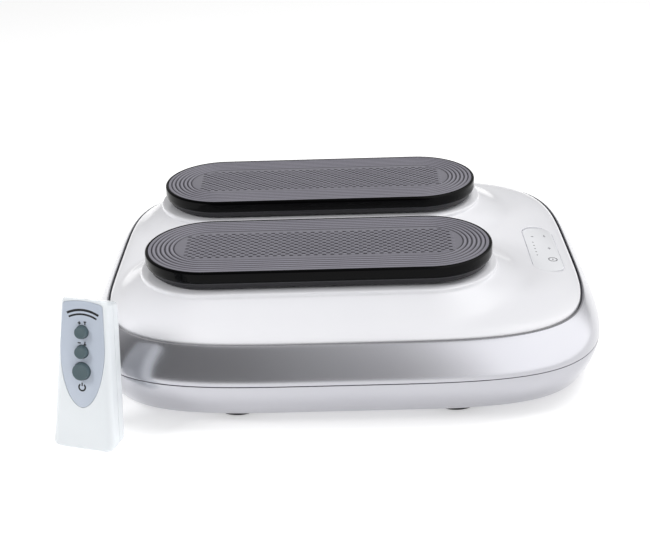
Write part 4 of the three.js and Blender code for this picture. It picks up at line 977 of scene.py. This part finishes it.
def trackTree():
    tree, names, given, exit_ = newTree("pedalBand", {
        "Length": 0.3, "Width": 0.1, "Arc Steps": 44, "Straight Steps": 30, "Material": "Material"})
    start = given["Geometry"]
    arc, straight = given["Arc Steps"], given["Straight Steps"]
    grid, around, inset, lift = sweepGrid(given, (arc + straight) * 2, start)
    half = (around / (arc + straight)).math("FLOOR")
    within = around - half * (arc + straight)
    bend, run = (within / arc).math("MINIMUM", 1.0), ((within - arc) / straight).math("MAXIMUM", 0.0)
    angle = (bend - 0.5) * math.pi
    side = 1 - 2 * (half - 2 * (half / 2).math("FLOOR"))
    radius = given["Width"] / 2 - inset
    reach = (given["Length"] - given["Width"]) / 2
    x = side * (reach * (1 - 2 * run) + radius * angle.math("COSINE"))
    y = side * radius * angle.math("SINE")
    endTree(tree, exit_, closeSweep(start, grid, x, y, lift), given["Material"])
    return tree, names


trackGroup, trackNames = trackTree()


def dashTree():
    # Cuts staggered dashes into the mat wherever they fit in the rounded field, with a bump after each
    tree, names, given, exit_ = newTree("matDashes", {
        "Pitch X": 0.007, "Pitch Y": 0.0034, "Columns": 37, "Rows": 14, "Field Length": 0.25, "Field Width": 0.05,
        "Field Corner": 0.01, "Dash": "Object", "Bump": "Object", "Top": 0.12, "Material": "Material"})
    start = given["Geometry"]
    across = given["Pitch X"] * (given["Columns"] - 1)
    along = given["Pitch Y"] * (given["Rows"] - 1)
    grid = start.node("GeometryNodeMeshGrid", {}, {"Size X": across, "Size Y": along, "Vertices X": given["Columns"],
                                                   "Vertices Y": given["Rows"]}, output="Mesh")
    place = start.node("GeometryNodeInputPosition")
    x, y, _ = place.split()
    row = ((y + along / 2) / given["Pitch Y"]).math("ROUND")
    stagger = (row - 2 * (row / 2).math("FLOOR")) * given["Pitch X"] / 2
    shifted = x + stagger - given["Pitch X"] / 4
    point = start.node("ShaderNodeCombineXYZ", {}, [shifted, y, given["Top"]])
    spread = start.node("GeometryNodeSetPosition", {}, {"Geometry": grid, "Position": point})
    corner = given["Field Corner"]
    overX, overY = ((axis.math("ABSOLUTE") - given[key] / 2 + corner).math("MAXIMUM", 0.0)
                    for axis, key in ((x, "Field Length"), (y, "Field Width")))
    outside = (overX * overX + overY * overY).math("GREATER_THAN", corner * corner)
    kept = start.node("GeometryNodeDeleteGeometry", {"domain": "POINT"}, {"Geometry": spread, "Selection": outside})
    half = start.node("ShaderNodeCombineXYZ", {}, [given["Pitch X"] / 2])
    between = start.node("GeometryNodeSetPosition", {}, {"Geometry": kept, "Offset": half})
    result = start
    for label, points, change in (("Bump", between, "UNION"), ("Dash", kept, "DIFFERENCE")):
        shape = start.node("GeometryNodeObjectInfo", {}, {"Object": given[label]}, output="Geometry")
        copies = start.node("GeometryNodeInstanceOnPoints", {}, {"Points": points, "Instance": shape})
        bodies = start.node("GeometryNodeRealizeInstances", {}, [copies])
        changed = tree.nodes.new("GeometryNodeMeshBoolean")
        changed.operation, changed.solver = change, "MANIFOLD"
        first = changed.inputs["Mesh 2"] if change == "UNION" else changed.inputs["Mesh 1"]
        tree.links.new(result.socket, first)
        tree.links.new(bodies.socket, changed.inputs["Mesh 2"])
        result = Socket(tree, changed.outputs[0])
    endTree(tree, exit_, result, given["Material"])
    return tree, names


dashGroup, dashNames = dashTree()


def trackSettings():
    return {"Length": pedal["length"] * mm, "Width": pedal["width"] * mm, "Arc Steps": 44, "Straight Steps": 30}


def matSection():
    p = pedal
    low, top, edge = p["top"] - p["matThickness"], p["top"], p["rimLip"] + p["seat"]
    high = top - 0.25
    section = [(p["width"] / 2, low), (30, low), (edge, low), (edge, high - 0.5), (edge + 0.15, high - 0.15),
               (edge + 0.5, high)]
    start, pitch = p["rimLip"] + p["border"], p["ribPitch"]
    section.append((start - 0.6, high))
    for rib in range(p["ribCount"]):
        for share in (0, 0.06, 0.14, 0.24, 0.36, 0.5, 0.64, 0.76, 0.86, 0.94):
            rise = math.sin(math.pi * share) ** 0.85
            section.append((start + (rib + share) * pitch, top - p["ribHeight"] * (1 - rise)))
    stop, field = start + p["ribCount"] * pitch, top - p["fieldDrop"]
    section += [(stop, top - p["ribHeight"]), (stop + 0.4, field - 0.2), (stop + 1.0, field), (40, field),
                (p["width"] / 2, field)]
    return section, field


def makeMat(name):
    section, top = matSection()
    made = sweepPiece(name, trackGroup, trackNames, section, trackSettings(), "matRubber")
    d = dash

    def slug(label, length, width, layers):
        return addMesh(label, loft([roundedBox(length - 2 * i, width - 2 * i, width / 2 * roundEnd - i, z,
                                               steps=d["steps"]) for i, z in layers]))

    shape = slug("dash_shape", d["length"], d["width"], ((0.3, -d["depth"]), (0, -0.1), (0, 0.9)))
    bump = slug("bump_shape", d["bumpLength"], d["bumpWidth"],
                [(i, z * d["bumpHeight"]) for i, z in ((0, -1), (0.06, 0.25), (0.3, 0.7), (0.66, 1))])
    modifier = made.modifiers.new("dashes", "NODES")
    modifier.node_group = dashGroup
    values = {"Pitch X": d["pitchX"] * mm, "Pitch Y": d["pitchY"] * mm, "Field Length": d["fieldLength"] * mm,
              "Field Width": d["fieldWidth"] * mm, "Field Corner": d["corner"] * mm, "Dash": shape, "Bump": bump,
              "Top": top * mm, "Material": materials["matRubber"],
              "Columns": int(d["fieldLength"] / d["pitchX"]) + 2, "Rows": int(d["fieldWidth"] / d["pitchY"]) + 1}
    for label, value in values.items():
        modifier[dashNames[label]] = value
    made.update_tag()
    settle(made)
    for used in (shape, bump):
        bpy.data.meshes.remove(used.data)
    return made


def makeRim(name):
    p = pedal
    low, top, lip, wall = p["top"] - p["rimHeight"], p["top"], p["rimLip"], p["rimWall"]
    floor = top - p["matThickness"] - p["seat"]
    section = [(0.5, low), (0.15, low + 0.15), (0, low + 0.5), (0, low + 3), (0, low + 6)]
    r = p["rimRounding"]
    section += [(r * (1 - math.cos(a)), top - r * (1 - math.sin(a))) for a in quarter(8)]
    section += [(lip - 0.4, top), (lip - 0.12, top - 0.12), (lip, top - 0.4), (lip, floor), (30, floor),
                (p["width"] / 2, floor)]
    plate = floor - p["rimPlate"]
    under = [(p["width"] / 2, plate), (30, plate), (wall, plate), (wall, low + 0.4), (wall - 0.3, low), (0.5, low)]
    return sweepPiece(name, trackGroup, trackNames, under + section[1:], trackSettings(), "rimBlack")


def makeBase(name):
    p = pedal
    high, low = p["top"] - p["rimHeight"] - p["seat"], p["top"] - p["rimHeight"] - p["baseHeight"]
    inset, taper, lip = p["baseInset"], p["baseTaper"], p["rimWall"] + p["seat"]
    section = [(p["width"] / 2, low), (30, low), (inset + taper, low)]
    rise = high - inset - low
    section += [(inset + taper * math.cos(a), low + rise * math.sin(a)) for a in quarter(8, 1)]
    section += [(inset, high - 0.2), (inset + 0.2, high), (lip, high), (lip, high + p["baseLip"] - 0.3),
                (lip + 0.3, high + p["baseLip"]), (30, high + p["baseLip"]), (p["width"] / 2, high + p["baseLip"])]
    made = sweepPiece(name, trackGroup, trackNames, section, trackSettings(), "baseDark")
    for end in ends.values():
        for wall, foot_, head, operation in ((0, p["pillarFoot"], low + 2, "UNION"),
                                             (p["pillarWall"], p["pillarFoot"] - 2, low, "DIFFERENCE")):
            carve(made, loft([roundedBox(p["pillarLength"] - 2 * wall, p["pillarWidth"] - 2 * wall,
                                         p["pillarCorner"] - wall, z, end * p["pillarReach"], 0)
                              for z in (foot_, head)]), operation)
    return made


for sideName, side in sides.items():
    x, y = pedalX + housingX, side * pedalReach + housingY
    for make, piece, finish, slot, sharp in ((makeMat, "mat", "matRubber", "mat_rubber", 50),
                                             (makeRim, "rim", "rimBlack", "rim_black", 38),
                                             (makeBase, "base", "baseDark", "base_dark", 38)):
        dress(placed(make(f"{sideName}_{piece}"), x, y), finish, f"{sideName}_pedal",
              [f"{sideName}_pedal_{piece}"], sharp)
print("pedals made")

# Hand remote, in its own frame: face to -Y, foot on the floor

remote = {"x": -220.6, "y": -215.7, "turn": -16.0, "lean": -14.0, "height": 127.9, "headFall": 12.0,
          "footWidth": 56.5, "headWidth": 42.0, "depth": 28.0, "edge": 6.5, "headRounding": 6.0, "headInset": 0.35,
          "footRounding": 4.5, "wall": 2.0, "seam": 0.3, "lampHole": 2.8}
face = {"width": 40.0, "head": 126.0, "tip": 34.6, "tipRadius": 8.5, "waist": 86.8, "corner": 5.0, "headShare": 0.9,
        "thickness": 0.9, "seat": 0.3}
button = {"places": {"up": (5.6, 100.0), "down": (5.6, 83.0), "power": (7.5, 66.3)}, "draft": 0.4, "proud": 4.6,
          "rounding": 0.6, "flange": 1.4, "flangeThickness": 1.0, "gap": 0.3, "dish": 0.25}
door = {"width": 30.0, "foot": 8.0, "head": 66.0, "corner": 3.0, "latchWidth": 10.0, "latchHeight": 4.0, "rise": 0.8}
remoteTurn = (Matrix.Rotation(math.radians(remote["turn"]), 4, "Z")
              @ Matrix.Rotation(math.radians(remote["lean"]), 4, "X"))


def slanted(ring, slope, level):
    return [(x, y, z + (y - level) * slope) for x, y, z in ring]


def remoteRing(lift, inset, wall):
    width = remote["footWidth"] + (remote["headWidth"] - remote["footWidth"]) * lift / remote["height"]
    corner = max(remote["edge"] - wall, remote["wall"] / 2) - inset / 2
    shrink = 2 * (inset + wall)
    return roundedBox(width - shrink, remote["depth"] - shrink, corner, lift, steps=12)


def remoteBody(wall):
    # The lower end is cut level with the floor, and the head falls away from the face
    foot, head = remote["footRounding"], remote["headRounding"]
    rings = []
    for angle in quarter(8):
        ring = remoteRing(wall + foot * (1 - math.cos(angle)), foot * (1 - math.sin(angle)), wall)
        rings.append(slanted(ring, math.tan(math.radians(-remote["lean"])), 0))
    for angle in quarter(12):
        ring = remoteRing(remote["height"] - wall - head * (1 - math.sin(angle)),
                          head * (1 - math.cos(angle)) * remote["headInset"], wall)
        rings.append(slanted(ring, -math.tan(math.radians(remote["headFall"])), -remote["depth"] / 2))
    return loft(rings)


def boxBody(x, y, z):
    return loft([[(x[0], y[0], h), (x[1], y[0], h), (x[1], y[1], h), (x[0], y[1], h)] for h in z])


def curve(points, steps):
    # Samples a Bezier curve of any order, without its last point
    result = []
    for i in range(steps):
        level, t = [Vector(p) for p in points], i / steps
        while len(level) > 1:
            level = [a.lerp(b, t) for a, b in zip(level, level[1:])]
        result.append((level[0].x, level[0].y))
    return result


def faceOutline(growth):
    f = face
    half, head, tip = f["width"] / 2 + growth, f["head"] + growth, f["tip"] - growth
    headHalf, tipRadius = half * f["headShare"], f["tipRadius"] + growth
    shoulder, arch = head - f["corner"] / 3, head - f["corner"] / 4
    low = f["tip"] + 2 * f["tipRadius"]
    right = curve([(0, tip), (tipRadius, tip), (half, low), (half, f["waist"])], 26)
    right += curve([(half, f["waist"]), (headHalf, head - f["corner"])], 8)
    right += curve([(headHalf, head - f["corner"]), (headHalf, shoulder), (headHalf - f["corner"], arch)], 8)
    right += curve([(headHalf - f["corner"], arch), (0, head + f["corner"] / 4), (f["corner"] - headHalf, arch)], 20)
    return right + [(-x, z) for x, z in reversed(right[1:43])]


def frontPlate(layers):
    # A plate parallel to the remote's face, through (growth, y) layers from the back forwards
    return loft([[(x, y, z) for x, z in faceOutline(growth)] for growth, y in layers])


front, back = -remote["depth"] / 2, remote["depth"] / 2


def lathedForward(profile, x, z, steps=56):
    # A turned body whose axis runs from the face to the back; heights become depths
    points, faces = turnedBody(profile, steps)
    return [(x + px, pz, z - py) for px, py, pz in points], faces


def halfShell(name, low, high):
    # Keeps what lies between two depths; the box reaches well past the shell elsewhere
    made = addMesh(name, remoteBody(0))
    carve(made, remoteBody(remote["wall"]))
    return carve(made, boxBody((-40, 40), (low, high), (-20, 150)), "INTERSECT")


def withButtonHoles(made):
    low, high = front - 8, front + 2.4
    for radius, height in button["places"].values():
        bore = radius + button["gap"] + 0.1
        carve(made, lathedForward([(0, low), (bore, low), (bore, high), (0, high)], 0, height))
    return made


def makeFrontShell():
    made = halfShell("remote_shell_front", -40, -remote["seam"] / 2)
    seat = front + face["thickness"] + face["seat"]
    carve(made, frontPlate([(face["seat"], seat), (face["seat"], front - 8)]))
    withButtonHoles(made)
    return carve(made, upright(remote["lampHole"], remote["height"] - 5, remote["height"] + 5, 0, front / 2, 32))


def doorBody(growth, low, high):
    middle = (door["head"] + door["foot"]) / 2
    ring = roundedBox(door["width"] + 2 * growth, door["head"] - door["foot"] + 2 * growth, door["corner"], 0, steps=6)
    return loft([[(-x, y, middle + z) for x, z, _ in ring] for y in (low, high)])


def makeBackShell():
    made = halfShell("remote_shell_back", remote["seam"] / 2, 40)
    for low in (10.1, 58.1):  # two walls hold the cells
        carve(made, boxBody((-24, 24), (remote["seam"] / 2, back - 1), (low, low + 1.6)), "UNION")
    carve(made, remoteBody(0), "INTERSECT")
    return carve(made, doorBody(0.3, back - remote["wall"] - 0.3, back + 8))


def makeDoor():
    made = addMesh("battery_cover", doorBody(0, back - remote["wall"], back))
    bevelled(made, 0.25)
    grip = boxBody((-door["latchWidth"], door["latchWidth"]), (back - door["rise"], back + 5),
                   (door["head"] - 2 * door["latchHeight"], door["head"] - door["latchHeight"]))
    carve(made, grip)
    ribs = []
    for number in range(5):
        z = door["head"] - 2 * door["latchHeight"] + 0.4 + 0.75 * number
        ribs.append(boxBody((-door["latchWidth"] / 2, door["latchWidth"] / 2),
                            (back - door["rise"] - 0.2, back - 0.1), (z, z + 0.4)))
    return carve(made, gather(*ribs), "UNION")


def makeButton(name, radius, height):
    b = button
    top, crown = front - b["proud"], radius - b["draft"]
    flangeFront = front + remote["wall"] + b["gap"]
    flangeBack = flangeFront + b["flangeThickness"]
    profile = [(0, top + b["dish"]), (crown * 0.5, top + b["dish"] * 0.7), (crown - b["rounding"] - 0.6, top)]
    profile += [(crown - b["rounding"] * (1 - math.sin(a)), top + b["rounding"] * (1 - math.cos(a)))
                for a in quarter(6)]
    profile += [(radius, front), (radius, flangeFront), (radius + b["flange"], flangeFront),
                (radius + b["flange"], flangeBack), (0, flangeBack)]
    return addMesh(name, lathedForward(profile, 0, height))


def makeFacePlate():
    layers = [(0, front + face["thickness"]), (0, front + 0.3), (-0.1, front + 0.09), (-0.35, front)]
    return withButtonHoles(addMesh("remote_face", frontPlate(layers)))


def makeRemoteMarks():
    # Two arcs at the head and plain symbols beside the buttons, printed on the face plate
    low, high = -0.03, 0.05

    def printed(body):
        return [(x, front - z, y) for x, y, z in body[0]], body[1]

    marks = [
        flatRing(31.4, 29.4, 0.5, 88.2, low, high, 62, 118, 28),
        flatRing(27.6, 26.0, 0.5, 88.2, low, high, 62, 118, 28),
        flatBar(3.0, 1.0, -2.6, 107.4, low, high), flatBar(1.0, 3.0, -2.6, 107.4, low, high),
        flatBar(1.0, 3.0, 2.6, 107.4, low, high), flatBar(2.6, 1.0, 2.6, 108.6, low, high),
        flatBar(3.0, 1.0, -2.6, 90.4, low, high),
        flatBar(1.0, 3.0, 2.6, 90.4, low, high), flatBar(2.6, 1.0, 2.6, 89.2, low, high),
        flatRing(3.6, 2.2, 0, 52.2, low, high, -235, 55, 36), flatBar(1.2, 3.2, 0, 54.8, low, high),
    ]
    return addMesh("remote_marks", printed(gather(*marks)))


def remotePiece(made, finish, body, replaced=()):
    place = Vector((remote["x"] + housingX, remote["y"] + housingY, 0)) * mm
    made.data.transform(Matrix.Translation(place) @ remoteTurn)
    dress(made, finish, body, replaced)


for make, finish, body, slot, replaced in (
        (makeFrontShell, "remoteWhite", "remote", "cover_white", ["remote_front_shell"]),
        (makeBackShell, "remoteWhite", "remote", "cover_white", ["remote_back_shell"]),
        (makeFacePlate, "facePlate", "remote", "face_plate_blue", ["remote_face_plate"]),
        (makeDoor, "remoteWhite", "battery_door", "cover_white", ["remote_battery_door"]),
        (makeRemoteMarks, "markBlack", "remote", "socket_black", ())):
    remotePiece(make(), finish, body, replaced)
for name, (radius, height) in button["places"].items():
    remotePiece(makeButton(f"{name}_key", radius, height), "buttonSlate", f"{name}_button",
                [f"remote_{name}_button"])
print("remote made")

# CAD nodes that keep their own shape get a finish

carried = {
    "circuitGreen": ["panel_board", "control_board", "remote_board"],
    "socketBlack": ["inlet_socket"],
    "zincSteel": ["chassis_plate", "rocker_beam"],
    "castAlloy": ["gear_box", "connecting_rod", "right_carriage", "left_carriage"]
                 + [f"rod_block_{s}_{e}" for s in sides for e in ends],
    "motorCase": ["gear_motor"],
    "groundSteel": ["beam_pivot", "drive_pin", "crank_disc"]
                   + [f"{s}_{r}_guide_rod" for s in sides for r in ("inner", "outer")],
    "bushBronze": [f"{s}_{r}_bush_{e}" for s in sides for r in ("inner", "outer") for e in ends],
    "pinNylon": ["beam_pin_right", "beam_pin_left"],
    "cellJacket": ["remote_cell_right", "remote_cell_left"],
    "lampDark": ["remote_lamp"],
}
for finish, names in carried.items():
    for name in names:
        for slotNumber in range(len(nodes[name].material_slots)):
            nodes[name].material_slots[slotNumber].material = materials[finish]
print("frame nodes dressed")

# Floor and light

# unseen: the part of the window's light that only gloss gets. lamps: place, size and power
stage = {"floorSize": 9.0, "sky": 0.6, "shade": 0.78, "window": 2.0, "corner": 0.5, "back": 0.35, "unseen": 0.8,
         "lamps": {"key": ((-1.0, -0.45, 0.85), 0.35, 6.0), "overhead": ((0.6, 0.1, 1.5), 0.8, 10.5)}}


def makeFloor():
    half = stage["floorSize"] / 2 / mm
    corners = [(-half, -half, -0.2), (half, -half, -0.2), (half, half, -0.2), (-half, half, -0.2)]
    made = addMesh("floor", (corners, [(0, 1, 2, 3)]))
    made.data.materials.append(materials["floorPale"])


def makeSky():
    # A pale room, dark to the front left, with a window to the right that mostly shows in reflections
    world = bpy.data.worlds.new("studio")
    world.use_nodes = True
    bpy.context.scene.world = world
    tree = world.node_tree
    background = tree.nodes["Background"]
    start = Socket(tree, None)
    x, y, z = start.node("ShaderNodeTexCoord", output="Generated").split()
    level = (x * x + y * y + 1e-4) ** 0.5
    side, ahead = x / level, 0 - y / level
    low = 1 - smooth(z, 0.9, 1.0)
    shade = (1 - smooth(side, -0.04, 0.09)) * smooth(ahead, -0.5, 0.1) * low
    window = smooth(side, 0.02, 0.45) * smooth(ahead, -0.75, -0.4) * low
    corner = smooth(side, 0.1, 0.3) * (1 - smooth(ahead, -0.9, -0.7)) * low
    back = (1 - smooth(side, -0.6, -0.2)) * (1 - smooth(ahead, -0.5, 0.1)) * low
    glossy = start.node("ShaderNodeLightPath", output="Is Glossy Ray")
    strength = 1 + window * stage["window"] * (1 - (1 - glossy) * stage["unseen"])
    for part, label in ((shade, "shade"), (corner, "corner"), (back, "back")):
        strength = strength - part * stage[label]
    tree.links.new((strength * stage["sky"]).socket, background.inputs["Strength"])
    background.inputs["Color"].default_value = (1.0, 1.0, 1.0, 1.0)


def makeLight(name, place, target, size, power):
    data = bpy.data.lights.new(name, "AREA")
    data.shape = "RECTANGLE"
    data.size, data.size_y = size
    data.energy = power
    lamp = bpy.data.objects.new(name, data)
    lamp.visible_glossy = False
    lamp.location = place
    lamp.rotation_euler = (Vector(target) - Vector(place)).to_track_quat("-Z", "Y").to_euler()
    bpy.context.scene.collection.objects.link(lamp)


makeFloor()
makeSky()
for name, (place, size, power) in stage["lamps"].items():
    makeLight(name, place, (0, 0, 0.05), (size, size), power)
bpy.context.scene.view_settings.view_transform = "Standard"
print("floor and light set")

bpy.context.view_layer.update()
